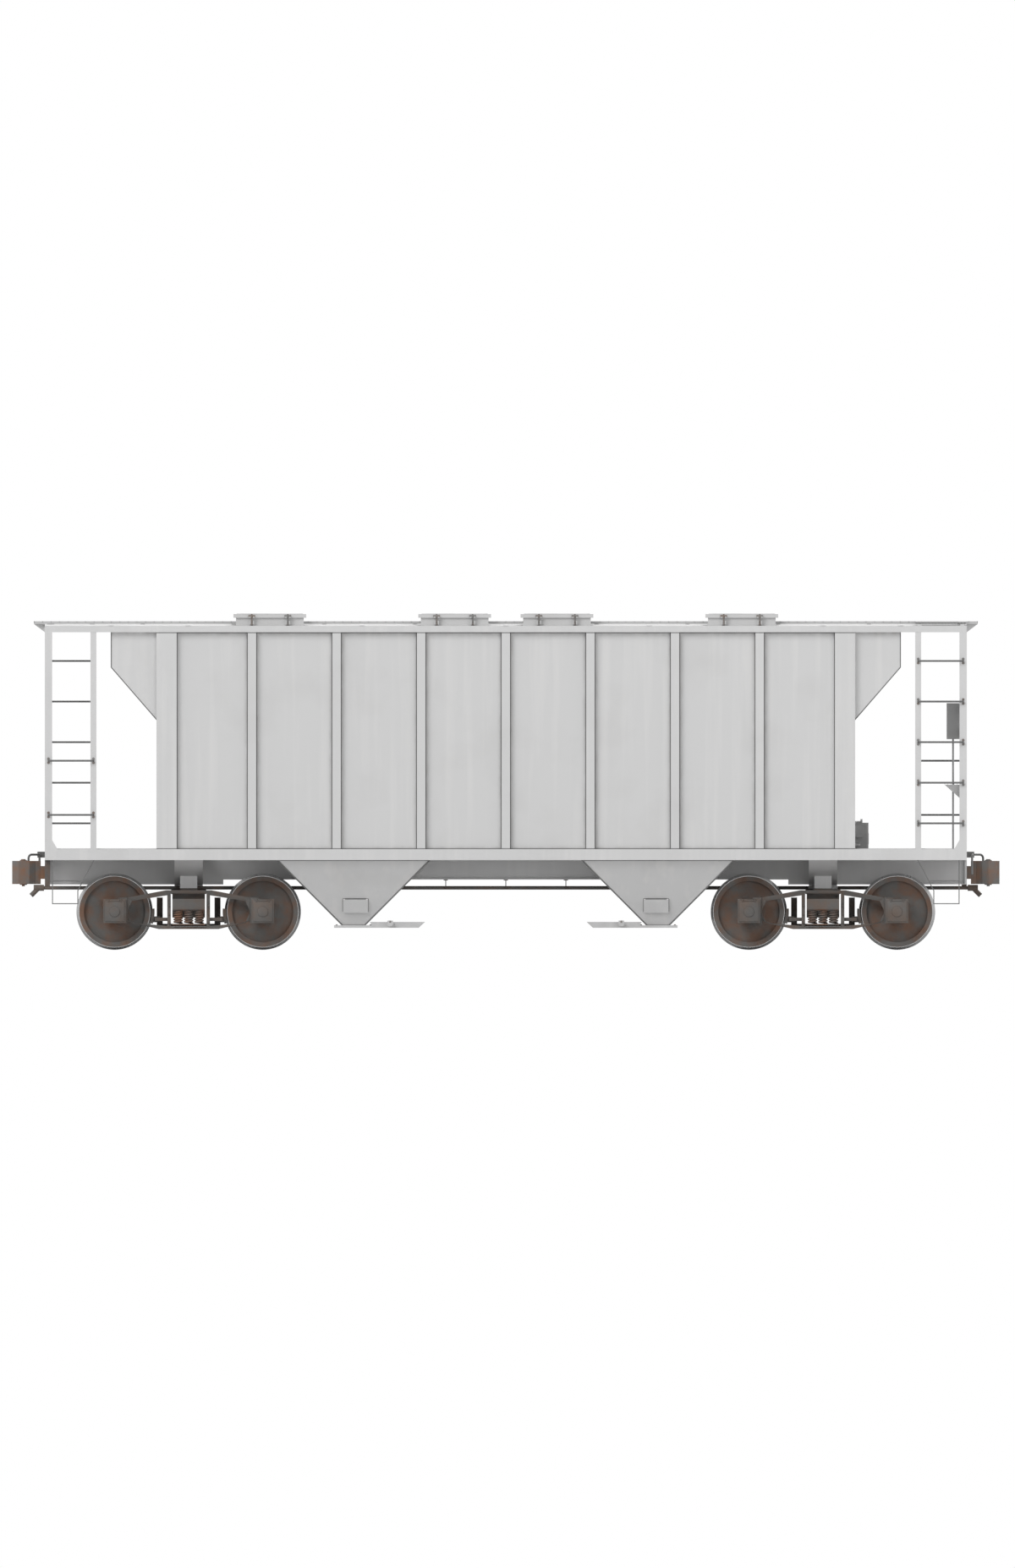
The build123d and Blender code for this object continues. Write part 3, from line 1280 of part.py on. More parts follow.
# Truck brakes: two beams with shoes, joined by levers and a rod under the bolster
def truck_brakes(x, label):
    beam_z = rail + brake_beam_above_rail
    bottom_rod_z = rail + bottom_rod_above_rail
    tread = tread_diameter / 2
    shoe_face = tread + shoe_gap
    shoe_rear = shoe_face + shoe_thickness
    beam_out = wheel_x - shoe_rear
    beam_in = beam_out - brake_beam_width
    shoe_y = wheel_back_y + wheel_flange_width + shoe_gap + shoe_width / 2
    frame_face = journal_y - frame_width / 2
    with BuildPart() as brakes:
        for end in (1, -1):
            for side in (1, -1):
                y0 = side * shoe_y - shoe_width / 2
                wedge = [(0, 0), (-shoe_rear * 2, shoe_reach / 2), (-shoe_rear * 2, -shoe_reach * 2)]
                face = (x + end * wheel_x, y0 + shoe_width, axle_z)
                with BuildSketch(Plane(origin=face, x_dir=(1, 0, 0), z_dir=(0, -1, 0))):
                    Circle(shoe_rear)
                    Circle(shoe_face, mode=Mode.SUBTRACT)
                    with BuildLine():
                        Polyline(*flipped(wedge, end), close=True)
                    make_face(mode=Mode.INTERSECT)
                extrude(amount=shoe_width)
                block(x + end * (beam_in + shoe_back), x + end * (beam_out + shoe_back),
                      y0 + shoe_back / 2, y0 + shoe_width - shoe_back / 2,
                      beam_z - brake_beam_depth / 2, beam_z + brake_beam_depth / 2)
                guide_in = window_half + column_width - beam_guide
                block(x + end * guide_in, x + end * beam_out, side * shoe_y, side * frame_face,
                      beam_z - beam_guide / 2, beam_z + beam_guide / 2)
            block(x + end * beam_in, x + end * beam_out, -shoe_y, shoe_y,
                  beam_z - brake_beam_depth / 2, beam_z + brake_beam_depth / 2)
            block(x + end * (beam_in - lever_width / 2), x + end * (beam_in + lever_width / 2),
                  -lever_thickness / 2, lever_thickness / 2, bottom_rod_z - bottom_rod_diameter / 2,
                  rail + lever_top_above_rail)
        rod((x - beam_in, 0, bottom_rod_z), (x + beam_in, 0, bottom_rod_z), bottom_rod_diameter / 2)
    save(brakes.part, label)


wheelset_number = 0
for name, end in (("a", -1), ("b", 1)):
    middle = end * truck_x
    side_frames(middle, f"truck_{name}_side_frames")
    truck_bolster(middle, f"truck_{name}_bolster")
    spring_groups(middle, f"truck_{name}_springs")
    truck_brakes(middle, f"truck_{name}_brakes")
    for place in (-1, 1):
        wheelset_number += 1
        wheelset(middle + place * wheel_x, f"wheelset_{wheelset_number}")
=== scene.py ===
# %% [markdown]
# This lesson dresses a two-bay covered hopper car, the kind that carries bulk cement.
# The car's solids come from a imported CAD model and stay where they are. What a drawing office
# leaves to the shop is added here: open gratings, coil springs, weld beads, bolts and paint.

from math import hypot, pi, radians, tau

import bpy
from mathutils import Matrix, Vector


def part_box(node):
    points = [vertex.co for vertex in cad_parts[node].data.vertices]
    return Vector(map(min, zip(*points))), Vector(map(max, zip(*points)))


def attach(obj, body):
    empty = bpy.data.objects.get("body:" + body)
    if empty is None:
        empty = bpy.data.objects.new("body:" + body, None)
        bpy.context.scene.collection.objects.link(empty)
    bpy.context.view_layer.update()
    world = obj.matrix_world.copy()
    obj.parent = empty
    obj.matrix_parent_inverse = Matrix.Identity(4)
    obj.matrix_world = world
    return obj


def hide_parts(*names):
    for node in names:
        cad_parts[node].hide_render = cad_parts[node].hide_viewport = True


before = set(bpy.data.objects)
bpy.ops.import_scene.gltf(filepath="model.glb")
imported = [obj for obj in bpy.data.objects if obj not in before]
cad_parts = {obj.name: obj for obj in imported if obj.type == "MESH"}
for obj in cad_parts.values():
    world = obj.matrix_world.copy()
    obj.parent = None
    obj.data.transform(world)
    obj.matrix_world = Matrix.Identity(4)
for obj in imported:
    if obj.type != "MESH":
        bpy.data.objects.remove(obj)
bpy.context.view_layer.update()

# %% [markdown]
# Everything in Blender is in metres, in the same frame as the CAD: X runs along the car, Y across
# it, Z up from the wheel flange tips. Sizes that the solids already have are read from their boxes,
# so a bolt or a bead lands on the steel that carries it, whatever size the car is.

# %% Read the main sizes from the solids
sill_low, sill_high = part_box("side_sills")
half_length, half_width, sill_top = sill_high
sill_bottom = sill_low[2]
tip_x, skin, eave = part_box("side_sheet_left")[1]
sheet_end, post_face, post_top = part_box("side_posts_left")[1]
roof_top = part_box("roof")[1][2]
rail_top = 0.0254
post_pitch = 0.986
post_width = 0.099
post_count = 7
end_post_width = 0.236
post_xs = [post_pitch * (i - (post_count - 1) / 2) for i in range(post_count)]
signs = (1, -1)
quarters = [(end, side) for end in signs for side in signs]
print("body length", round(2 * half_length, 3), "width", round(2 * half_width, 3), "eave", round(eave, 3))

# %% [markdown]
# An operator works on all that is selected, so each helper picks its own piece and nothing else.
# Boxes and bars start as a primitive at their size and place, and their edges are then eased,
# because no sheared or cast edge on a railway car is perfectly sharp. An edge can be eased in edit
# mode, all round a fresh primitive, or by a modifier that finds the sharp ones.

# %% Helpers that pick, finish and join pieces


def only(piece):
    """Selects one piece and nothing else."""
    bpy.ops.object.select_all(action="DESELECT")
    piece.select_set(True)
    bpy.context.view_layer.objects.active = piece


def seat(piece):
    """Puts a piece's place into its mesh, so that its object sits at the origin."""
    only(piece)
    bpy.ops.object.transform_apply(location=True, rotation=True, scale=True)
    return piece


def edit(piece, action="SELECT"):
    """Opens one piece in edit mode, with all or nothing of its mesh selected."""
    only(piece)
    bpy.ops.object.mode_set(mode="EDIT")
    bpy.ops.mesh.select_all(action=action)


def leave_edit():
    """Goes back to object mode."""
    bpy.ops.object.mode_set(mode="OBJECT")


def ease(piece, width):
    """Bevels every edge of a fresh primitive in edit mode."""
    edit(piece)
    bpy.ops.mesh.bevel(offset=width, offset_type="OFFSET", segments=1, affect="EDGES")
    leave_edit()
    return piece


def ease_sharp(piece, width, segments, angle=30.0):
    """Bevels the edges that turn by more than an angle, by a modifier that is applied."""
    only(piece)
    edges = piece.modifiers.new("edges", "BEVEL")
    edges.width = width
    edges.segments = segments
    edges.limit_method = "ANGLE"
    edges.angle_limit = radians(angle)
    bpy.ops.object.modifier_apply(modifier=edges.name)
    return piece


def bar(corner, far_corner, edge=0.0):
    """A square bar or plate between any two opposite corners, with eased edges."""
    middle = [(a + b) / 2 for a, b in zip(corner, far_corner)]
    bpy.ops.mesh.primitive_cube_add(size=1, location=middle)
    piece = bpy.context.object
    piece.scale = [abs(b - a) for a, b in zip(corner, far_corner)]
    seat(piece)
    return ease(piece, edge) if edge else piece


def round_bar(start, finish, radius, sides=12):
    """A round bar between two points."""
    start, finish = Vector(start), Vector(finish)
    run = finish - start
    bpy.ops.mesh.primitive_cylinder_add(vertices=sides, radius=radius, depth=run.length,
                                        location=(start + finish) / 2,
                                        rotation=run.to_track_quat("Z", "Y").to_euler())
    return seat(bpy.context.object)


def joined(pieces):
    """Makes one piece of several."""
    only(pieces[0])
    for piece in pieces:
        piece.select_set(True)
    if len(pieces) > 1:
        bpy.ops.object.join()
    return bpy.context.object


def repeated(piece, count, step):
    """Repeats a piece along a step, by an array that is applied."""
    only(piece)
    rows = piece.modifiers.new("rows", "ARRAY")
    rows.count = count
    rows.use_relative_offset = False
    rows.use_constant_offset = True
    rows.constant_offset_displace = step
    bpy.ops.object.modifier_apply(modifier=rows.name)
    return piece


def copies(piece, places):
    """A copy of a piece, with its own mesh, moved to each place; the first piece is used up."""
    made = []
    for place in places:
        twin = piece.copy()
        twin.data = piece.data.copy()
        bpy.context.collection.objects.link(twin)
        twin.location = place
        made.append(seat(twin))
    bpy.data.objects.remove(piece)
    return made


# %% [markdown]
# Every effect below is worked out by shader nodes from Object coordinates, so it sticks to the
# steel when a lid opens or a wheel turns. Noise does most of the work: it is stretched along the way
# that rain runs, and its contrast is raised until only its peaks show. The settings of all the
# noises stand in one table, because they are easier to balance side by side.

# %% Shader node helpers
even = (1.0, 1.0, 1.0)
# Columns: stretch of the coordinates, scale, detail, the levels that become nought and one
noises = {
    "streaks": ((3.2, 3.2, 0.16), 2.6, 6.0, 0.50, 0.74),
    "patches": (even, 1.7, 7.0, 0.52, 0.78),
    "settled": (even, 5.0, 8.0, 0.34, 0.66),
    "grain": (even, 90.0, 3.0, 0.0, 1.0),
    "rust": (even, 6.0, 9.0, 0.40, 0.66),
    "grime": ((1.0, 1.0, 0.7), 2.3, 6.0, 0.44, 0.70),
    "pits": (even, 130.0, 4.0, 0.0, 1.0),
    # This noise breaks up the corner mask on the side sheets, which is partly dirt and partly painted shade
    "broken_dirt_and_shade": ((1.0, 1.0, 0.6), 7.0, 6.0, 0.30, 0.62),
}


def put(tree, node, inputs):
    """Gives a node's inputs what belongs there: a number, a colour or another node's socket."""
    for label, value in inputs.items():
        if isinstance(value, bpy.types.NodeSocket):
            tree.links.new(value, node.inputs[label])
        else:
            node.inputs[label].default_value = value
    return node


def add(tree, kind, inputs):
    """A new shader node with its inputs."""
    return put(tree, tree.nodes.new("ShaderNode" + kind), inputs)


def effect_group(name, inputs, outputs):
    """An empty shader group, its input node's sockets and its output node."""
    group = bpy.data.node_groups.new(name, "ShaderNodeTree")
    for label, value in inputs.items():
        kind = "NodeSocketColor" if isinstance(value, tuple) else "NodeSocketFloat"
        group.interface.new_socket(name=label, in_out="INPUT", socket_type=kind).default_value = value
    for label in outputs:
        kind = "NodeSocketColor" if label == "Colour" else "NodeSocketFloat"
        group.interface.new_socket(name=label, in_out="OUTPUT", socket_type=kind)
    given = group.nodes.new("NodeGroupInput").outputs
    return group, given, group.nodes.new("NodeGroupOutput")


def ramp(tree, value, low, high):
    """A value between two levels, as nought to one."""
    levels = {"Value": value, "From Min": low, "From Max": high}
    return add(tree, "MapRange", levels).outputs["Result"]


def noise(tree, name):
    """A noise of the table on object coordinates."""
    stretch, scale, detail, low, high = noises[name]
    place = add(tree, "TexCoord", {}).outputs["Object"]
    stretched = add(tree, "Mapping", {"Vector": place, "Scale": stretch}).outputs["Vector"]
    cloud = add(tree, "TexNoise", {"Vector": stretched, "Scale": scale, "Detail": detail})
    return ramp(tree, cloud.outputs["Fac"], low, high)


def object_xyz(tree):
    """The object coordinates of the point that is shaded, as sockets X, Y and Z."""
    place = add(tree, "TexCoord", {}).outputs["Object"]
    return add(tree, "SeparateXYZ", {"Vector": place}).outputs


def calc(tree, operation, first, second=0.0, clamp=False):
    """A math node on two sockets or numbers."""
    node = add(tree, "Math", {0: first, 1: second})
    node.operation = operation
    node.use_clamp = clamp
    return node.outputs["Value"]


def tint(tree, amount, base, over):
    """Mixes a colour over another by an amount."""
    node = tree.nodes.new("ShaderNodeMix")
    node.data_type = "RGBA"
    return put(tree, node, {"Factor": amount, 6: base, 7: over}).outputs[2]


def grey(level, warmth=0.0):
    """A grey of a given linear level, a little warm or cool."""
    return (level + warmth, level, level - warmth, 1.0)


surface = ("Colour", "Roughness", "Height")
print("noises:", len(noises))

# %% [markdown]
# Paint on a cement car is never one flat colour. Rain draws pale streaks of cement down the sheets,
# dust settles on whatever faces up, and soot and brake dust cling in patches low down. The three
# effects share one node group, so every painted piece weathers in the same way at its own strength.

# %% Node group: streaks, patches and settled dust
steep, level_top = 0.35, 0.95
dust_dulls = 0.35
weather, given, made = effect_group("weathering", {
    "Paint": (0.6, 0.6, 0.6, 1), "Dust": (0.72, 0.70, 0.66, 1), "Soot": (0.10, 0.09, 0.08, 1),
    "Streaks": 0.3, "Patches": 0.2, "Settled": 0.6, "Gloss": 0.45}, surface)
streaks = calc(weather, "MULTIPLY", noise(weather, "streaks"), given["Streaks"], True)
patches = calc(weather, "MULTIPLY", noise(weather, "patches"), given["Patches"], True)
facing = add(weather, "NewGeometry", {}).outputs["Normal"]
facing = add(weather, "SeparateXYZ", {"Vector": facing}).outputs["Z"]
upward = ramp(weather, facing, steep, level_top)
settled = calc(weather, "MULTIPLY", noise(weather, "settled"), upward)
settled = calc(weather, "MULTIPLY", settled, given["Settled"], True)
colour = tint(weather, streaks, given["Paint"], given["Dust"])
colour = tint(weather, patches, colour, given["Soot"])
colour = tint(weather, settled, colour, given["Dust"])
dull = calc(weather, "MULTIPLY", calc(weather, "ADD", streaks, settled), dust_dulls)
put(weather, made, {"Colour": colour, "Height": noise(weather, "grain"),
                    "Roughness": calc(weather, "ADD", dull, given["Gloss"], True)})
print("weathering nodes:", len(weather.nodes))

# %% [markdown]
# Cast and forged steel that is never painted rusts in two tones and carries road grime, and the
# high spots of its rough skin catch a little light. A second group gives that to trucks, couplers,
# springs and wheels.

# %% Node group: rust and grime on bare steel
bare_roughness = 0.58
rust_dulls = 0.25
rusting, given, made = effect_group("rust_and_grime", {
    "Steel": (0.10, 0.09, 0.08, 1), "Rust": (0.19, 0.09, 0.045, 1), "Grime": (0.05, 0.045, 0.04, 1),
    "Rusted": 0.6, "Grimy": 0.5}, surface)
rust = calc(rusting, "MULTIPLY", noise(rusting, "rust"), given["Rusted"], True)
grime = calc(rusting, "MULTIPLY", noise(rusting, "grime"), given["Grimy"], True)
colour = tint(rusting, rust, given["Steel"], given["Rust"])
colour = tint(rusting, grime, colour, given["Grime"])
dull = calc(rusting, "MULTIPLY", rust, rust_dulls)
put(rusting, made, {"Colour": colour, "Height": noise(rusting, "pits"),
                    "Roughness": calc(rusting, "ADD", dull, bare_roughness, True)})
print("rust nodes:", len(rusting.nodes))

# %% [markdown]
# Each finish is one material with the same few nodes: a group, a Bump and the Principled shader.
# What tells a hatch from a hopper slope is only how much dust or soot it carries, so the finishes
# are rows of a table. A real car is one grey all over, and its dust is a little warmer.

# %% Materials from the two groups
car_grey = grey(0.61)
cement_dust = grey(0.70, 0.015)
thin_dust = grey(0.68, 0.010)
relief_depth = 0.002
# Columns: paint, dust, soot, streaks, patches, settled dust, roughness, strength of the relief
painted = {
    "body_paint": (car_grey, grey(0.72, 0.008), grey(0.42, 0.01), 0.35, 0.16, 0.35, 0.45, 0.12),
    "roof_paint": (car_grey, thin_dust, grey(0.42, 0.01), 0.1, 0.18, 0.5, 0.45, 0.15),
    "hopper_paint": (car_grey, cement_dust, grey(0.34, 0.012), 0.45, 0.25, 0.5, 0.45, 0.14),
    "hatch_paint": (grey(0.60), thin_dust, grey(0.40, 0.01), 0.1, 0.20, 0.5, 0.45, 0.15),
    "grating_steel": (grey(0.52), cement_dust, grey(0.22, 0.01), 0.1, 0.3, 0.4, 0.4, 0.2),
    "rung_steel": (grey(0.13), grey(0.30, 0.01), grey(0.07), 0.12, 0.3, 0.25, 0.4, 0.2),
    "weld_steel": (grey(0.16), grey(0.34, 0.01), grey(0.07), 0.2, 0.3, 0.2, 0.55, 0.6),
    "brake_gear_paint": (grey(0.36), cement_dust, grey(0.12, 0.01), 0.15, 0.45, 0.6, 0.45, 0.25),
    "outlet_steel": (grey(0.55), cement_dust, grey(0.20, 0.02), 0.3, 0.4, 0.7, 0.45, 0.25),
}
paint_labels = ("Paint", "Dust", "Soot", "Streaks", "Patches", "Settled", "Gloss")
# Columns: steel, rust, grime, how rusted, how grimy, strength of the relief, metallic
bare = {
    "gate_steel": (grey(0.42, 0.01), (0.30, 0.17, 0.10, 1), grey(0.30, 0.01), 0.35, 0.4, 0.3, 0.6),
    "truck_castings": (grey(0.105, 0.006), (0.17, 0.095, 0.055, 1), grey(0.055, 0.003),
                       0.45, 0.6, 0.5, 0.0),
    "spring_steel": (grey(0.12, 0.006), (0.23, 0.11, 0.06, 1), grey(0.05, 0.003), 0.8, 0.4, 0.4, 0.0),
    "coupler_steel": (grey(0.15, 0.008), (0.26, 0.13, 0.07, 1), grey(0.06, 0.004), 0.85, 0.35, 0.45, 0.0),
    "bolt_steel": (grey(0.24, 0.004), (0.22, 0.13, 0.08, 1), grey(0.09, 0.003), 0.5, 0.4, 0.3, 0.3),
    "wheel_steel": (grey(0.12, 0.008), (0.21, 0.105, 0.06, 1), grey(0.05, 0.003), 0.75, 0.5, 0.35, 0.0),
}
steel_labels = ("Steel", "Rust", "Grime", "Rusted", "Grimy")


def placed_effect(tree, group, inputs):
    """An effect group placed in a material."""
    node = tree.nodes.new("ShaderNodeGroup")
    node.node_tree = group
    return put(tree, node, inputs).outputs


def first_effect(tree):
    """The effect group that a material was made with."""
    return next(node for node in tree.nodes if node.type == "GROUP").outputs


def shaded(tree, inputs):
    """Gives a material's Principled shader its inputs."""
    put(tree, tree.nodes["Principled BSDF"], inputs)


def shader_material(name, group, inputs, bump, metallic=0.0):
    """A material whose colour, roughness and fine relief come from an effect group."""
    material = bpy.data.materials.new(name)
    material.use_nodes = True
    tree = material.node_tree
    effect = placed_effect(tree, group, inputs)
    relief = {"Strength": bump, "Distance": relief_depth, "Height": effect["Height"]}
    shaded(tree, {"Base Color": effect["Colour"], "Roughness": effect["Roughness"],
                  "Metallic": metallic, "Normal": add(tree, "Bump", relief).outputs["Normal"]})
    return material


finish = {}
for name, (*values, bump) in painted.items():
    finish[name] = shader_material(name, weather, dict(zip(paint_labels, values)), bump)
for name, (*values, bump, metallic) in bare.items():
    inputs = dict(zip(steel_labels, values))
    finish[name] = shader_material(name, rusting, inputs, bump, metallic)
print("materials:", len(bpy.data.materials))

# %% [markdown]
# The welded side sheets show dark lines in the corners beside each post, above the sill and under the
# top rail. They are partly dirt that gathers there and partly painted shade, where these corners
# fall dark. The posts stand at an even pitch, so the distance to the nearest post can be worked out
# from X alone: fold X by the pitch, then measure from the post's edge.

# %% Side sheet paint with dirt and painted shade in its corners
corner_reach = 0.07
corner_power = 2.2
corner_strength = 0.55
# The grey of the dirt and painted shade in the sheets' corners
corner_grime_and_shade = grey(0.26, 0.012)
# The mask is partly dirt and partly painted shade: it darkens the sheet beside each post, above the sill and
# under the top rail
corner_dirt_and_shade, given, made = effect_group("corner_dirt_and_shade", {"Strength": 0.6}, ("Mask",))
where = object_xyz(corner_dirt_and_shade)
folded = calc(corner_dirt_and_shade, "PINGPONG", where["X"], post_pitch / 2)
dirt_and_shade_level = 0.0
for distance in (calc(corner_dirt_and_shade, "SUBTRACT", folded, post_width / 2),
                 calc(corner_dirt_and_shade, "SUBTRACT", where["Z"], sill_top),
                 calc(corner_dirt_and_shade, "SUBTRACT", where["Z"], post_top)):
    beside = ramp(corner_dirt_and_shade, calc(corner_dirt_and_shade, "ABSOLUTE", distance), corner_reach, 0.0)
    dirt_and_shade_level = calc(corner_dirt_and_shade, "MAXIMUM", dirt_and_shade_level, beside)
dirt_and_shade_level = calc(corner_dirt_and_shade, "POWER", dirt_and_shade_level, corner_power)
dirt_and_shade_level = calc(corner_dirt_and_shade, "MULTIPLY", dirt_and_shade_level, noise(corner_dirt_and_shade, "broken_dirt_and_shade"))
put(corner_dirt_and_shade, made, {"Mask": calc(corner_dirt_and_shade, "MULTIPLY", dirt_and_shade_level, given["Strength"], True)})

finish["sheet_paint"] = finish["body_paint"].copy()
finish["sheet_paint"].name = "sheet_paint"
tree = finish["sheet_paint"].node_tree
paint = first_effect(tree)["Colour"]
# The corner mask darkens the sheet's paint with dirt and painted shade
dirt_and_shade = placed_effect(tree, corner_dirt_and_shade, {"Strength": corner_strength})["Mask"]
shaded(tree, {"Base Color": tint(tree, dirt_and_shade, paint, corner_grime_and_shade)})
print("dirt reaches", corner_reach)

# %% [markdown]
# A rolled wheel is rust brown on its plate and bright where it runs on the rail. The bright band
# is a band of radius about each axle. All four wheelsets stand at the same distance either side of
# the truck centres, so folding X twice brings every axle to the same place.

# %% Wheel steel, bright on the tread


def middle_of(node, axis):
    """The middle of a solid's box along an axis."""
    low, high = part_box(node)
    return (low[axis] + high[axis]) / 2


truck_x = abs(middle_of("truck_b_bolster", 0))
axle_z = middle_of("wheelset_1", 2)
wheel_x = abs(middle_of("wheelset_4", 0) - truck_x)
tread_radius = 0.419
bright_edge = 0.010
bright_steel = grey(0.48)
tread_metal = 0.85
tread_polish = 0.35
axles, given, made = effect_group("axle_distance", {"Radius": tread_radius}, ("Mask",))
where = object_xyz(axles)
along = calc(axles, "SUBTRACT", calc(axles, "ABSOLUTE", where["X"]), truck_x)
along = calc(axles, "SUBTRACT", calc(axles, "ABSOLUTE", along), wheel_x)
above = calc(axles, "SUBTRACT", where["Z"], axle_z)
square = calc(axles, "ADD", calc(axles, "MULTIPLY", along, along), calc(axles, "MULTIPLY", above, above))
beyond = calc(axles, "SUBTRACT", calc(axles, "POWER", square, 0.5), given["Radius"])
put(axles, made, {"Mask": ramp(axles, beyond, -bright_edge, -bright_edge / 2)})

tree = finish["wheel_steel"].node_tree
rusty = first_effect(tree)
worn = placed_effect(tree, axles, {})["Mask"]
polish = calc(tree, "MULTIPLY", worn, tread_polish)
shaded(tree, {"Base Color": tint(tree, worn, rusty["Colour"], bright_steel),
              "Metallic": calc(tree, "MULTIPLY", worn, tread_metal),
              "Roughness": calc(tree, "SUBTRACT", rusty["Roughness"], polish, True)})
print("axles at", round(truck_x - wheel_x, 3), "and", round(truck_x + wheel_x, 3))

# %% [markdown]
# The CAD solids come with a plain material. Each gets its finish from a table of nodes, and a node
# that moves with a lid, a gate or a truck gets it by its name. Only the material is exchanged: a
# solid's mesh and place stay as they are packed.

# %% Give every solid its finish
finishes = {
    "sheet_paint": ("side_sheet_left", "side_sheet_right"),
    "roof_paint": ("roof",),
    "hatch_paint": ("hatch_coamings",),
    "hopper_paint": ("hopper_bay_a", "hopper_bay_b", "end_slope_a", "end_slope_b"),
    "rung_steel": ("ladders", "grab_irons", "sill_steps", "uncoupling_levers"),
    "grating_steel": ("running_board", "brake_step"),
    "coupler_steel": ("couplers",),
    "truck_castings": ("train_line",),
    "brake_gear_paint": ("hand_brake_wheel", "hand_brake_gear", "air_reservoir", "brake_cylinder",
                         "control_valve"),
    "outlet_steel": ("outlet_frames",),
}
finish_of = {node: name for name, nodes in finishes.items() for node in nodes}
moving_finishes = (("hatch_lid", "hatch_paint"), ("gate_", "gate_steel"), ("wheelset", "wheel_steel"),
                   ("truck", "truck_castings"))
for node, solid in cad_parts.items():
    name = finish_of.get(node, "body_paint")
    for start, moving_finish in moving_finishes:
        if node.startswith(start):
            name = moving_finish
    if node.endswith("_springs"):
        name = "spring_steel"
    solid.data.materials.clear()
    solid.data.materials.append(finish[name])
print("finishes in use:", len({solid.data.materials[0].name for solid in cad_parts.values()}))

# %% [markdown]
# A finished piece takes its place in the model in one line. Its parts are joined, and round ones are
# shaded smooth up to an angle. It then gets its name, its material and the body it moves with.

# %% Place a finished piece
round_shading = 35.0


def fit(pieces, name, body, material, shading=None):
    """Joins, names and paints what was made, and hangs it on its body."""
    piece = joined(pieces)
    if shading:
        only(piece)
        bpy.ops.object.shade_smooth_by_angle(angle=radians(shading))
    piece.name = name
    piece.data.name = name
    piece.data.materials.clear()
    piece.data.materials.append(finish[material])
    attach(piece, body)
    return piece


print("round pieces are shaded smooth up to", round_shading, "degrees")

# %% [markdown]
# The running board is an open steel grating, so that snow and cement fall through it and boots
# don't slip. Deep bearing bars run along the car and thin cross bars tie them. One bar of each
# kind is modelled and repeated, which keeps an eleven metre walkway light.

# %% Running board grating
board_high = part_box("running_board")[1]
board_half_length, board_top = board_high[0], board_high[2]
board_thickness = 0.032
board_bottom = board_top - board_thickness
board_half_width = 0.305
bearing_bar = 0.004
bearing_pitch = 0.0376
cross_bar = 0.006
cross_pitch = 0.10
cross_depth = 0.014
corner_board_length = 0.603
corner_board_edge = 0.040


def row(low, high, axis, width, pitch):
    """Bars of one width from face to face along an axis, at about a pitch."""
    reach = high[axis] - low[axis] - width
    count = max(2, round(reach / pitch) + 1)
    tip, step = list(high), [0.0, 0.0, 0.0]
    tip[axis] = low[axis] + width
    step[axis] = reach / (count - 1)
    return repeated(bar(low, tip), count, step)


def grating(low, high, along_axis):
    """An open grating: deep bearing bars along one axis, low cross bars along the other."""
    foot = (low[0], low[1], high[2] - cross_depth)
    return joined([row(low, high, 1 - along_axis, bearing_bar, bearing_pitch),
                   row(foot, high, along_axis, cross_bar, cross_pitch)])


walk = [grating((-board_half_length, -board_half_width, board_bottom),
                (board_half_length, board_half_width, board_top), 0)]
for end in signs:
    x0, x1 = sorted((end * (half_length - corner_board_length), end * half_length))
    y0, y1 = sorted((-end * board_half_width, -end * (half_width - corner_board_edge)))
    walk.append(grating((x0, y0, board_bottom), (x1, y1, board_top), 1))
walkway = fit(walk, "running_board_grating", "car_body", "grating_steel")
print("grating faces:", len(walkway.data.polygons))

# %% [markdown]
# Flat saddles carry the walkway off the roof, small feet carry its corner boards, and a three
# cornered bracket holds up each end where the walkway runs out past the body. A bracket is a plate
# whose low outer corners are moved onto the inner ones and merged, as a gusset is cut from a plate.

# %% Saddles, brackets and feet under the running board
saddle_width = 0.050
saddle_inset = 0.040
saddle_count = 11
saddle_edge = 0.002
saddle_from_end = 0.084
foot_thickness = 0.025
bracket_wall = 0.010
bracket_y = 0.230


def cut_corner(plate, picked, move, wall):
    """Makes a plate a triangle: the picked corners move onto their neighbours and are merged."""
    edit(plate, "DESELECT")
    leave_edit()
    for vertex in plate.data.vertices:
        vertex.select = picked(vertex.co)
    bpy.ops.object.mode_set(mode="EDIT")
    bpy.ops.transform.translate(value=move)
    bpy.ops.mesh.select_all(action="SELECT")
    bpy.ops.mesh.remove_doubles(threshold=wall / 8)
    leave_edit()
    return plate


def outer_foot(point):
    """True at a bracket's low corners beyond the body's end."""
    return abs(point.x) > half_length + bracket_wall / 4 and point.z < board_bottom - bracket_wall / 4


saddles = []
reach = board_half_width - saddle_inset
last_saddle = half_length - saddle_from_end
for i in range(saddle_count):
    x = -last_saddle + 2 * last_saddle * i / (saddle_count - 1)
    saddles.append(bar((x - saddle_width / 2, -reach, roof_top),
                       (x + saddle_width / 2, reach, board_bottom), saddle_edge))
for end in signs:
    for turn in signs:
        gusset = bar((end * half_length, turn * bracket_y, post_top),
                     (end * board_half_length, turn * (bracket_y + bracket_wall), board_bottom))
        move = (-end * (board_half_length - half_length), 0, 0)
        saddles.append(cut_corner(gusset, outer_foot, move, bracket_wall))
    y = -end * (half_width - saddle_width)
    for x in (half_length - corner_board_length + saddle_width, half_length - saddle_width):
        saddles.append(bar((end * x - saddle_width / 2, y - foot_thickness / 2, eave),
                           (end * x + saddle_width / 2, y + foot_thickness / 2, board_bottom), saddle_edge))
fit(saddles, "running_board_saddles", "car_body", "body_paint")
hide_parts("running_board")
print("saddles:", saddle_count)

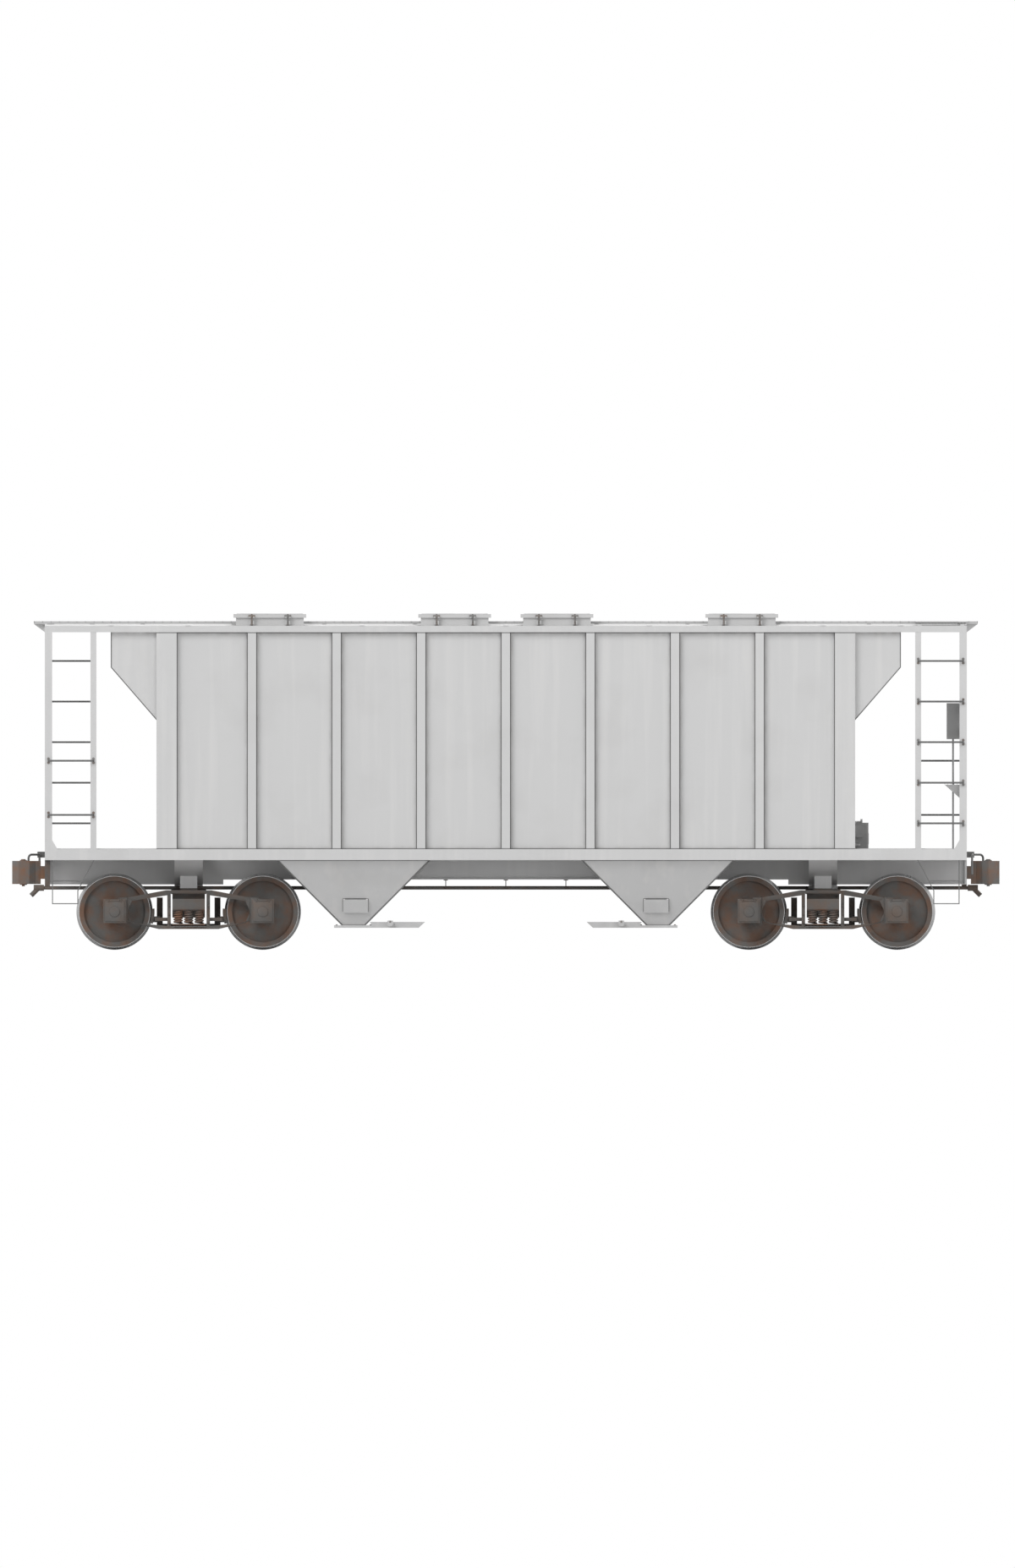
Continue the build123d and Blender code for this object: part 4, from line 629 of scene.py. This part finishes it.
# %% [markdown]
# The brake step is the same open grating on a small scale, on two triangular side plates. It
# reaches from post to post at the hand brake end, with a gap for the brake rod.

# %% Brake step
step_low, step_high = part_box("brake_step")
step_grate_depth = 0.030
step_grate_z = step_high[2] - step_grate_depth
brace_wall = 0.012


def inner_foot(point):
    """True at a side plate's low corners, furthest from the post."""
    return point.x < step_low[0] + brace_wall and point.z < step_low[2] + brace_wall


step_parts = [grating((step_low[0], step_low[1], step_grate_z), tuple(step_high), 1)]
for y in (step_low[1], step_high[1] - brace_wall):
    plate = bar((step_low[0], y, step_low[2]), (step_high[0], y + brace_wall, step_grate_z))
    step_parts.append(cut_corner(plate, inner_foot, (0, 0, step_grate_z - step_low[2]), brace_wall))
brake_step = fit(step_parts, "brake_step_grating", "car_body", "grating_steel")
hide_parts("brake_step")
print("brake step width", round(step_high[1] - step_low[1], 3))

# %% [markdown]
# The roof is made of sheets welded edge to edge, and a low cap covers each joint. The caps follow
# the roof's two slopes, so each is a thin bar from the running board down to the eave.

# %% Roof seam caps
cap_width = 0.060
cap_height = 0.006
cap_sunk = 0.004
cap_edge = 0.0015
roof_at_eave = 0.005
eave_top = eave + roof_at_eave
cap_xs = (-4.60, -3.70, -1.673, 0.0, 1.673, 3.70, 4.60)
caps = []
for x in cap_xs:
    for side in signs:
        cap = bar((x - cap_width / 2, side * board_half_width, roof_top - cap_sunk),
                  (x + cap_width / 2, side * half_width, roof_top + cap_height), cap_edge)
        for vertex in cap.data.vertices:
            share = (abs(vertex.co.y) - board_half_width) / (skin - board_half_width)
            vertex.co.z -= min(share, 1.0) * (roof_top - eave_top)
        caps.append(cap)
fit(caps, "roof_seam_caps", "car_body", "roof_paint")
print("roof caps:", len(caps))

# %% [markdown]
# Weld beads run down both sides of each post and along the sill and the top rail. They are only a
# few millimetres high, but their dark line is what an eye follows on a welded car. A bead is a
# slim bar with three faces showing; the ripple of the weld is left to the relief in its material.

# %% Weld beads on the sides
bead = 0.010
foot_bead_depth = 0.004
bead_rows = ((sill_top, sill_top + bead), (post_top - bead, post_top))
end_post_x = sheet_end - end_post_width
# Columns: where a post's edge is along the car, and on which side of it the bead lies
post_edges = [(x + turn * post_width / 2, turn) for x in post_xs for turn in (-1, 1)]
post_edges += [(end_post_x, -1), (-end_post_x, 1)]
end_post_middle = sheet_end - end_post_width / 2
posts = [(x, post_width) for x in post_xs]
posts += [(end_post_middle, end_post_width), (-end_post_middle, end_post_width)]
edge_xs = sorted(x for x, turn in post_edges)
for side, side_name in ((1, "left"), (-1, "right")):
    beads = []
    inner_y, outer_y = side * skin, side * (skin + bead)
    for x, turn in post_edges:
        beads.append(bar((x, inner_y, sill_top), (x + turn * bead, outer_y, post_top), bead / 4))
    for x, width in posts:
        for z0, z1 in bead_rows:
            beads.append(bar((x - width / 2, side * (half_width - foot_bead_depth), z0),
                             (x + width / 2, side * half_width, z1), bead / 6))
    for x0, x1 in zip(edge_xs[0::2], edge_xs[1::2]):
        for z0, z1 in bead_rows:
            beads.append(bar((x0 + bead, inner_y, z0), (x1 - bead, outer_y, z1), bead / 4))
    fit(beads, "weld_beads_" + side_name, "car_body", "weld_steel")
print("post edges:", len(post_edges))

# %% [markdown]
# The funnels under the body are folded from plate and welded along their four slanting corners and
# round their feet. Each weld is a slim round bar laid along the edge, half sunk in the two plates.
# The channels of the sills and rails end at the car's corners, where a welded cap closes each one.

# %% Welds on the funnels and caps on the channel ends
bay_centre = 1.774
bay_length = 1.754
funnel_depth = 0.759
outlet_length = 0.242
outlet_width = 0.610
outlet_inner = 0.330
plate_wall = 0.006
funnel_bead = 0.009
weld_sides = 8
outlet_top = sill_bottom - funnel_depth
slant_wall = plate_wall * hypot(bay_length - outlet_length, 2 * funnel_depth) / (2 * funnel_depth)
top_half = bay_length / 2 + slant_wall
foot_half = outlet_length / 2 + slant_wall
funnels = [(bay, side) for bay in (-bay_centre, bay_centre) for side in signs]


def weld_run(points, radius):
    """Slim round bars laid end to end through a row of points."""
    return [round_bar(start, finish, radius, weld_sides) for start, finish in zip(points, points[1:])]


welds = []
for bay, side in funnels:
    foot_out = side * (outlet_inner + outlet_width + plate_wall)
    foot_in = side * (outlet_inner - plate_wall)
    foot = [(bay + turn * foot_half, y, outlet_top) for turn, y in
            ((-1, foot_in), (-1, foot_out), (1, foot_out), (1, foot_in), (-1, foot_in))]
    welds += weld_run(foot, funnel_bead)
    top = {turn: (bay + turn * top_half, side * skin, sill_bottom) for turn in signs}
    for turn in signs:
        welds += weld_run([(bay + turn * foot_half, foot_out, outlet_top), top[turn]], funnel_bead)
    welds += weld_run([top[-1], top[1]], funnel_bead)

# The vibrator pads are welded on all round, two thirds of the way down each outer slope and a
# little nearer to the car's middle than the funnel's own middle
pad_length = 0.290
pad_height = 0.178
pad_share = 0.69
pad_offset = 0.022
pad_bead = 0.006
slope_run = skin - outlet_inner - outlet_width - plate_wall
slope_length = hypot(slope_run, funnel_depth)
for bay, side in funnels:
    pad_x = bay + pad_offset if bay < 0 else bay - pad_offset
    centre = Vector((pad_x, side * (skin - slope_run * pad_share), sill_bottom - funnel_depth * pad_share))
    along_slope = Vector((0, side * slope_run, funnel_depth)) * (pad_height / 2 / slope_length)
    across = Vector((pad_length / 2, 0, 0))
    pad = [centre + a * across + b * along_slope for a, b in ((-1, -1), (1, -1), (1, 1), (-1, 1), (-1, -1))]
    welds += weld_run(pad, pad_bead)

# The side sheets end in a slanting edge, where the slope sheet inside is welded to them
tip_depth = 0.001
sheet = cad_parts["side_sheet_left"].data
knee_z = min(vertex.co.z for vertex in sheet.vertices if vertex.co.x > tip_x - tip_depth)
slope = (knee_z - sill_bottom) / (tip_x - bay_centre - bay_length / 2)
heel_z = knee_z - (tip_x - sheet_end) * slope
for side in signs:
    for end in signs:
        corners = ((tip_x, post_top), (tip_x, knee_z), (sheet_end, heel_z))
        welds += weld_run([(end * x, side * skin, z) for x, z in corners], pad_bead)
print("sheet knee at", round(knee_z, 3), "heel at", round(heel_z, 3))
fit(welds, "funnel_welds", "car_body", "weld_steel", round_shading)

# A cap fills each channel's end, and a thin strip behind it closes the gap to the sheet's skin
channel_wall = 0.010
cap_inset = 0.001
strip_half = 0.004
channel_caps = []
for end, side in quarters:
    x0, x1 = end * (half_length - channel_wall), end * (half_length - cap_inset)
    for z0, z1 in ((sill_bottom, sill_top), (post_top, eave)):
        outer_y = side * (half_width - channel_wall / 2)
        channel_caps.append(bar((x0, side * skin, z0 + channel_wall / 2),
                                (x1, outer_y, z1 - channel_wall / 2), cap_edge))
        channel_caps.append(bar((x0, side * (skin - strip_half), z0 + cap_inset),
                                (x1, side * (skin + strip_half), z1 - cap_inset), cap_edge))
fit(channel_caps, "corner_caps", "car_body", "body_paint")
print("funnel welds:", len(welds), "corner caps:", len(channel_caps))

# %% [markdown]
# Each hatch lid is held down by two bolts that hang in its hasps, with a wing nut on top and an
# eye at the foot, between the two lugs on the coaming. The bolt stays with the lid when it opens.
# One bolt is built from a rod, a washer, a nut with two wings and an eye, then copied.

# %% Hold-down bolts of the hatch lids
lid_low, lid_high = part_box("hatch_lid_1")
lid_size = lid_high[0] - lid_low[0]
hasp_thickness = 0.012
hasp_top = lid_low[2] + hasp_thickness
hasp_spread = 0.420
hasp_reach = 0.034
hatch_y = 0.804
hatch_xs = (-2.750, -0.596, 0.596, 2.750)
bolt_radius = 0.008
bolt_drop = 0.075
bolt_top = 0.045
washer_top = 0.004
nut_top = 0.022
wing_start = 0.010
wing_length = 0.030
wing_half = 0.004
wing_low, wing_high = 0.010, 0.034


def wing_bolt():
    """A hold-down bolt standing at the origin, with the hasp's top at z 0."""
    shank = round_bar((0, 0, -bolt_drop), (0, 0, bolt_top), bolt_radius, 10)
    washer = round_bar((0, 0, 0.0), (0, 0, washer_top), 0.019, 14)
    nut = round_bar((0, 0, washer_top), (0, 0, nut_top), 0.014, 6)
    eye = round_bar((-0.010, 0, -bolt_drop), (0.010, 0, -bolt_drop), 0.015, 12)
    wings = [bar((turn * wing_start, -wing_half, wing_low),
                 (turn * (wing_start + wing_length), wing_half, wing_high), 0.002) for turn in signs]
    return joined([shank, washer, nut, eye] + wings)


hatches = [(x, side) for side in (-1, 1) for x in hatch_xs]
for number, (x, side) in enumerate(hatches, start=1):
    bolt_y = side * hatch_y + side * (lid_size / 2 + hasp_reach)
    places = [(x + turn * hasp_spread / 2, bolt_y, hasp_top) for turn in signs]
    fit(copies(wing_bolt(), places), f"lid_bolts_{number}", f"hatch_lid_{number}", "bolt_steel",
        round_shading)
print("lids:", len(hatches))

# %% [markdown]
# A coil spring is a circle swept up a screw. The Screw modifier does just that: it turns a small
# circle about Z, climbs one pitch each turn, and repeats. A thick outer coil stands round a thin
# inner one, wound the other way on the real truck so that the two never lock into each other.

# %% Coil springs of the trucks
spring_pitch = 0.122
seat_thickness = 0.014
seat_width = 0.140
seat_edge = 0.003
# Columns: radius of the coil, radius of the wire, turns, and which way it is wound
coils = ((0.046, 0.0105, 5, 1), (0.024, 0.006, 7, -1))
wire_sides = 8
steps_a_turn = 18


def coil(height, radius, wire, turns, hand):
    """A closed coil spring on Z, its foot at the origin."""
    bpy.ops.mesh.primitive_circle_add(vertices=wire_sides, radius=wire, location=(radius, 0, wire),
                                      rotation=(pi / 2, 0, 0))
    spring = seat(bpy.context.object)
    screw = spring.modifiers.new("coil", "SCREW")
    screw.axis = "Z"
    screw.iterations = turns
    screw.angle = hand * tau
    screw.screw_offset = (height - 2 * wire) / turns
    screw.steps = steps_a_turn
    screw.render_steps = steps_a_turn
    bpy.ops.object.modifier_apply(modifier=screw.name)
    edit(spring)
    bpy.ops.mesh.remove_doubles(threshold=wire / 50)
    bpy.ops.mesh.fill_holes(sides=wire_sides)
    bpy.ops.mesh.normals_make_consistent(inside=False)
    leave_edit()
    return spring


trucks = (("a", -1), ("b", 1))
for letter, end in trucks:
    node = f"truck_{letter}_springs"
    low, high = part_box(node)
    height = high[2] - low[2] - 2 * seat_thickness
    pair = joined([coil(height, *row) for row in coils])
    group_y = (high[1] + (high[1] - seat_width)) / 2
    places = [(end * truck_x + i * spring_pitch, side * group_y, low[2] + seat_thickness)
              for side in signs for i in (-1, 0, 1)]
    group = copies(pair, places)
    for side in signs:
        for z in (low[2], high[2] - seat_thickness):
            group.append(bar((low[0], side * high[1], z),
                             (high[0], side * (high[1] - seat_width), z + seat_thickness), seat_edge))
    springs = fit(group, f"truck_{letter}_coil_springs", f"truck_{letter}", "spring_steel",
                  round_shading)
    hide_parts(node)
print("spring height", round(height, 3))

# %% [markdown]
# A truck's side frame is a steel casting: deep ribs stand round the edge of thin webs. The solid
# has the outline, so a copy of its loose triangles is merged, and the outer and inner faces are
# inset as whole regions and pushed in. What remains standing at the edge is the rib. The faces
# stay triangles until then, because one large face cannot have the frame's three openings in it.

# %% Cast side frames with ribs
rib = 0.017
rib_slope = 0.004
rib_depth = 0.030
cast_edge = 0.005
frame_y = 1.003
frame_half = 0.070
face_reach = 0.004
flat_limit = 0.01
merge_reach = 0.0002


def merged_copy(node):
    """A copy of a CAD node with its loose triangles merged."""
    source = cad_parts[node]
    twin = source.copy()
    twin.data = source.data.copy()
    twin.parent = None
    bpy.context.collection.objects.link(twin)
    edit(twin)
    bpy.ops.mesh.remove_doubles(threshold=merge_reach)
    bpy.ops.mesh.select_all(action="DESELECT")
    leave_edit()
    return twin


for letter, end in trucks:
    node = f"truck_{letter}_side_frames"
    cast = merged_copy(node)
    for polygon in cast.data.polygons:
        flat = abs(abs(polygon.normal.y) - 1.0) < flat_limit
        from_middle = abs(abs(polygon.center.y) - frame_y)
        polygon.select = flat and abs(from_middle - frame_half) < face_reach
    bpy.ops.object.mode_set(mode="EDIT")
    bpy.ops.mesh.select_mode(type="FACE")
    bpy.ops.mesh.inset(thickness=rib, depth=0.0, use_boundary=True, use_even_offset=True)
    bpy.ops.mesh.inset(thickness=rib_slope, depth=-rib_depth, use_boundary=True, use_even_offset=True)
    bpy.ops.mesh.select_mode(type="VERT")
    leave_edit()
    ease_sharp(cast, cast_edge, 2, round_shading)
    fit([cast], f"truck_{letter}_cast_frames", f"truck_{letter}", "truck_castings",
        round_shading)
    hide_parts(node)
    print("cast frame faces", len(cast.data.polygons))

# %% [markdown]
# Each journal box keeps its bearing in oil behind a hinged lid. The lid has a raised round boss and
# a hinge barrel along its top edge.

# %% Journal box lids
box_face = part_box("truck_b_side_frames")[1][1]
box_half_height = 0.148
barrel_drop = 0.018
barrel_z = axle_z + box_half_height - barrel_drop
barrel_half = 0.060
barrel_radius = 0.013
barrel_sunk = 0.004
boss_radius = 0.062
boss_height = 0.010
boss_sunk = 0.002
ear_start, ear_end = 0.064, 0.082
ear_back, ear_front = 0.020, 0.008
for letter, end in trucks:
    lids = []
    for side, place in quarters:
        x = end * truck_x + place * wheel_x
        y = side * box_face
        boss = round_bar((x, y - side * boss_sunk, axle_z), (x, y + side * boss_height, axle_z),
                         boss_radius, 28)
        lids.append(ease_sharp(boss, 0.006, 3))
        barrel_y = y - side * barrel_sunk
        lids.append(round_bar((x - barrel_half, barrel_y, barrel_z), (x + barrel_half, barrel_y, barrel_z),
                              barrel_radius, 14))
        for turn in signs:
            lids.append(bar((x + turn * ear_start, y - side * ear_back, barrel_z - barrel_drop),
                            (x + turn * ear_end, y + side * ear_front, barrel_z + barrel_drop), 0.004))
    fit(lids, f"truck_{letter}_box_lids", f"truck_{letter}", "truck_castings",
        round_shading)
print("box lids a truck:", len(quarters))

# %% [markdown]
# Rungs are bolted to the posts, two bolt heads to each foot. One hex head on a washer is modelled
# and copied to every foot on the sides of the car. The same head serves for the outlets later.

# %% Bolt heads on the rung feet
head_radius = 0.012
head_height = 0.008
washer_height = 0.002
head_spread = 0.024
ladder_x = half_length - 0.601 + 0.0345
corner_x = half_length - 0.042
ladder_zs = [rail_top + 3.341 - 0.473 * i for i in range(5)]
grab_zs = [rail_top + 1.547, rail_top + 2.178]


def hex_head(outward, washer_share):
    """A bolt head on a washer, the washer's back at the origin and the head along a direction."""
    outward = Vector(outward)
    washer = round_bar((0, 0, 0), outward * washer_height, head_radius * washer_share, 12)
    head = round_bar(outward * washer_height, outward * (washer_height + head_height), head_radius, 6)
    return joined([washer, head])


heads = []
for end in signs:
    for side, zs in ((-end, ladder_zs), (end, grab_zs)):
        places = []
        for z in zs:
            for dz in (-head_spread, head_spread):
                places.append((end * ladder_x, side * post_face, z + dz))
                places.append((end * corner_x, side * half_width, z + dz))
        heads += copies(hex_head((0, side, 0), 1.3), places)
fit(heads, "rung_bolts", "car_body", "bolt_steel")
print("bolt heads:", len(heads))

# %% [markdown]
# Wear plates are riveted to the columns of each truck frame, where the bolster rubs up and down. A
# rivet is a flattened ball: a small sphere is scaled along its own axis, then copied to its places.

# %% Rivets on the truck columns
rivet_radius = 0.013
rivet_flatness = 0.6
rivet_shading = 60.0
column_x = 0.190 + 0.076 / 2
web_face = frame_y + frame_half - rib_depth
rivet_zs = (axle_z - 0.13, axle_z - 0.03, axle_z + 0.07)


def rivet():
    """A round rivet head at the origin, flattened across the car."""
    bpy.ops.mesh.primitive_uv_sphere_add(segments=10, ring_count=6, radius=rivet_radius)
    piece = bpy.context.object
    piece.scale = (1.0, rivet_flatness, 1.0)
    return seat(piece)


for letter, end in trucks:
    places = [(end * truck_x + turn * column_x, side * web_face, z)
              for side, turn in quarters for z in rivet_zs]
    fit(copies(rivet(), places), f"truck_{letter}_rivets", f"truck_{letter}", "truck_castings",
        rivet_shading)
print("rivets a truck:", len(places))

# %% [markdown]
# Each outlet frame is bolted up against a flange round the foot of its funnel. The cross shafts that
# move the gates end in round hubs with a square socket, which takes the opening bar.

# %% Outlet bolts and shaft sockets
frames_low, frames_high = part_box("outlet_frames")
outlet_middle = outlet_inner + outlet_width / 2
flange_half = outlet_length / 2 + 0.106
flange_inset = 0.030
flange_pitch = 0.150
shaft_from_middle = flange_half + 0.200
shaft_z = frames_low[2] + 0.0693
hub_y = frames_high[1]
socket_half = 0.026 / 2
socket_depth = 0.02
socket_proud = 1.0003
places = [(bay + turn * (flange_half - flange_inset), side * (outlet_middle + flange_pitch * i), outlet_top)
          for bay, side in funnels for turn in signs for i in (-2, -1, 0, 1, 2)]
outlet_bolts = copies(hex_head((0, 0, 1), 1.25), places)
for bay in (-bay_centre, bay_centre):
    x = bay - shaft_from_middle if bay > 0 else bay + shaft_from_middle
    for side in signs:
        outlet_bolts.append(bar(
            (x - socket_half, side * hub_y * socket_proud, shaft_z - socket_half),
            (x + socket_half, side * (hub_y - socket_depth), shaft_z + socket_half), 0.002))
fit(outlet_bolts, "outlet_bolts", "car_body", "bolt_steel")
print("outlet bolts:", len(places))

# %% [markdown]
# The slide gates are moved by racks: a pinion on each cross shaft bites into teeth on the gate.
# A tooth is one small wedge, repeated along the gate, and the teeth ride on the gate as it opens.
# They are kept low, so that they pass under the shaft.

# %% Rack teeth on the gates
gate_thickness = 0.012
tooth_pitch = 0.020
tooth_height = 0.003
tooth_count = 7
rack_width = 0.030
rack_offset = 0.180
rack_from_end = 0.006
rack_length = tooth_pitch * tooth_count
for number, (end, side) in enumerate(((-1, -1), (-1, 1), (1, -1), (1, 1)), start=1):
    low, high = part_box(f"gate_{number}")
    plate_top = high[2] - gate_thickness
    x = low[0] + rack_from_end if end > 0 else high[0] - rack_from_end - rack_length
    teeth = []
    for turn in signs:
        y = (low[1] + high[1]) / 2 + turn * rack_offset
        tooth = bar((x, y - rack_width / 2, plate_top),
                    (x + tooth_pitch / 2, y + rack_width / 2, plate_top + tooth_height), 0.001)
        teeth.append(repeated(tooth, tooth_count, (tooth_pitch, 0, 0)))
    fit(teeth, f"gate_rack_{number}", f"gate_{number}", "gate_steel")
print("teeth a gate:", 2 * tooth_count)

# %% [markdown]
# Pipes join the air reservoir, the control valve and the brake cylinder on the end platform. A
# pipe is a curve with a round section, turned into a mesh so that it exports like the rest. Its
# route is a few corners, and each corner is turned into a short arc, as a pipe is bent.

# %% Brake pipes on the platform
pipe_radius = 0.014
pipe_bend = 0.035
bend_steps = 5


def pipe(points, radius):
    """A round pipe through a row of points."""
    curve = bpy.data.curves.new("pipe", "CURVE")
    curve.dimensions = "3D"
    curve.bevel_depth = radius
    curve.bevel_resolution = 3
    curve.use_fill_caps = True
    line = curve.splines.new("POLY")
    line.points.add(len(points) - 1)
    for point, place in zip(line.points, points):
        point.co = (*place, 1)
    piece = bpy.data.objects.new("pipe", curve)
    bpy.context.collection.objects.link(piece)
    only(piece)
    bpy.ops.object.convert(target="MESH")
    return bpy.context.object


def bent(points):
    """The same route with each corner turned into a short arc of points."""
    route = [Vector(points[0])]
    for before, corner, after in zip(points, points[1:], points[2:]):
        before, corner, after = Vector(before), Vector(corner), Vector(after)
        start = corner + (before - corner).normalized() * pipe_bend
        finish = corner + (after - corner).normalized() * pipe_bend
        for i in range(bend_steps + 1):
            t = i / bend_steps
            route.append(start.lerp(corner, t).lerp(corner.lerp(finish, t), t))
    route.append(Vector(points[-1]))
    return [tuple(point) for point in route]


tank_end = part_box("air_reservoir")[1][1]
tank_x = middle_of("air_reservoir", 0)
valve_low, valve_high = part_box("control_valve")
valve_x = middle_of("control_valve", 0)
can_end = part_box("brake_cylinder")[1][0]
deck = valve_low[2]
run_z = deck + 0.040
tank_z = deck + 0.230
can_z = run_z + 0.150
into_tank = 0.030
into_valve = 0.060
into_can = 0.010
tank_turn = tank_end + 0.070
can_turn = can_end + 0.060
can_y = 0.760
side_y = can_y - 0.200
tank_route = ((tank_x, tank_end - into_tank, tank_z), (tank_x, tank_turn, tank_z),
              (tank_x, tank_turn, run_z), (valve_x, tank_turn, run_z),
              (valve_x, valve_low[1] + into_valve, run_z))
can_route = ((valve_x, valve_high[1] - into_valve, run_z), (valve_x, side_y, run_z),
             (can_turn, side_y, run_z), (can_turn, can_y, can_z), (can_end - into_can, can_y, can_z))
fit([pipe(bent(route), pipe_radius) for route in (tank_route, can_route)], "brake_pipes", "car_body",
    "brake_gear_paint", round_shading)
print("pipe run at", round(run_z, 3))

# %% [markdown]
# A coupler's knuckle swings on an upright pin between two lugs of the head, and a thin seam shows
# where it closes. The pin is a round bar with a flat head, the lugs are low round bosses, and the
# seam is a fine line sunk half into the casting, above and below.

# %% Coupler pins, lugs and seams
coupler_z = rail_top + 0.876
head_half = 0.135
pin_from_end = 0.250
pin_y = -0.108
pin_radius = 0.018
pin_below, pin_above = 0.026, 0.016
pin_head_top = 0.020
lug_radius = 0.042
lug_height = 0.010
lug_sunk = 0.004
pin_edge = 0.002
seam_route = ((0.205, -0.150), (0.230, -0.070), (0.262, -0.035), (0.268, -0.027))
seam_radius = 0.003
pins = []
seams = []
for end in signs:
    x, y = end * (half_length + pin_from_end), end * pin_y
    for turn in signs:
        face = coupler_z + turn * head_half
        lug = round_bar((x, y, face - turn * lug_sunk), (x, y, face + turn * lug_height), lug_radius, 24)
        pins.append(ease(lug, pin_edge))
        seams.append(pipe([(end * (half_length + sx), end * sy, face) for sx, sy in seam_route], seam_radius))
    pins.append(round_bar((x, y, coupler_z - head_half - pin_below),
                          (x, y, coupler_z + head_half + pin_above), pin_radius, 16))
    pin_head = round_bar((x, y, coupler_z + head_half + lug_height),
                         (x, y, coupler_z + head_half + pin_head_top), pin_radius * 1.5, 16)
    pins.append(ease(pin_head, pin_edge))
fit(pins, "coupler_pins", "car_body", "coupler_steel", round_shading)
fit(seams, "coupler_seams", "car_body", "weld_steel")
print("coupler pins and lugs:", len(pins))

# %% [markdown]
# The floor is plain and pale. The world is white for the camera and for gloss, but gives less
# light than that, so the paint renders at about the level it is written.

# %% Floor and world
floor_size = 120.0
world_light = 0.50
bpy.ops.mesh.primitive_plane_add(size=floor_size, location=(0, 0, 0))
floor = seat(bpy.context.object)
floor.name = "studio_floor"
floor_paint = bpy.data.materials.new("studio_floor")
floor_paint.use_nodes = True
shaded(floor_paint.node_tree, {"Base Color": grey(0.86), "Roughness": 0.9})
floor.data.materials.append(floor_paint)

world = bpy.data.worlds.new("studio")
bpy.context.scene.world = world
world.use_nodes = True
tree = world.node_tree
tree.nodes.clear()
rays = add(tree, "LightPath", {}).outputs
direct = calc(tree, "ADD", rays["Is Camera Ray"], rays["Is Glossy Ray"], True)
direct = calc(tree, "ADD", direct, rays["Is Transmission Ray"], True)
lit, seen = [add(tree, "Background", {"Color": (1, 1, 1, 1), "Strength": strength})
             for strength in (world_light, 1.0)]
sky = add(tree, "MixShader", {"Fac": direct, 1: lit.outputs[0], 2: seen.outputs[0]})
add(tree, "OutputWorld", {"Surface": sky.outputs["Shader"]})
print("world light", world_light)

# %% [markdown]
# Broad suns give the posts and ribs their shape. A sun lights a wide floor evenly, where a lamp
# near the car would leave a bright patch, and its wide angle keeps the shadows soft. The key comes
# from the left in front, a weak one fills the underframe, and one behind lights the far side.

# %% Lamps


def soft_sun(name, place, spread, strength):
    """A sun that shines from a place towards the car's middle, as soft as its spread in degrees."""
    light = bpy.data.lights.new(name, "SUN")
    light.angle = radians(spread)
    light.energy = strength
    piece = bpy.data.objects.new(name, light)
    bpy.context.collection.objects.link(piece)
    piece.location = place
    piece.rotation_euler = Vector(place).to_track_quat("Z", "Y").to_euler()


# Columns: name, where it stands, spread in degrees, strength
suns = (("key", (-9.0, -15.0, 11.0), 30.0, 1.15), ("low_fill", (5.0, -16.0, 1.2), 25.0, 0.42),
        ("back", (6.0, 16.0, 9.0), 40.0, 1.15))
for sun in suns:
    soft_sun(*sun)
print("suns:", len(suns))

# %% [markdown]
# The drawing is a true side elevation, so the camera has no perspective. Its frame is found from
# the drawing: the body's length over the end sills spans a known number of pixels, which gives the
# size of one pixel and so the height of the whole picture.

# %% Camera
frame_width, frame_height = 1200, 1854
body_pixels = 1090
body_middle_pixel = 598
sill_pixel = 1017
camera_distance = 40.0
pixel = 2 * half_length / body_pixels
camera_data = bpy.data.cameras.new("side_view")
camera_data.type = "ORTHO"
camera_data.ortho_scale = pixel * frame_height
camera_data.clip_end = 5 * camera_distance
camera = bpy.data.objects.new("side_view", camera_data)
bpy.context.collection.objects.link(camera)
camera.location = ((frame_width / 2 - body_middle_pixel) * pixel, -camera_distance,
                   sill_bottom + (sill_pixel - frame_height / 2) * pixel)
camera.rotation_euler = (pi / 2, 0, 0)
bpy.context.scene.camera = camera
bpy.context.scene.view_settings.view_transform = "Standard"
print("pixel", round(pixel * 1000, 3), "mm")
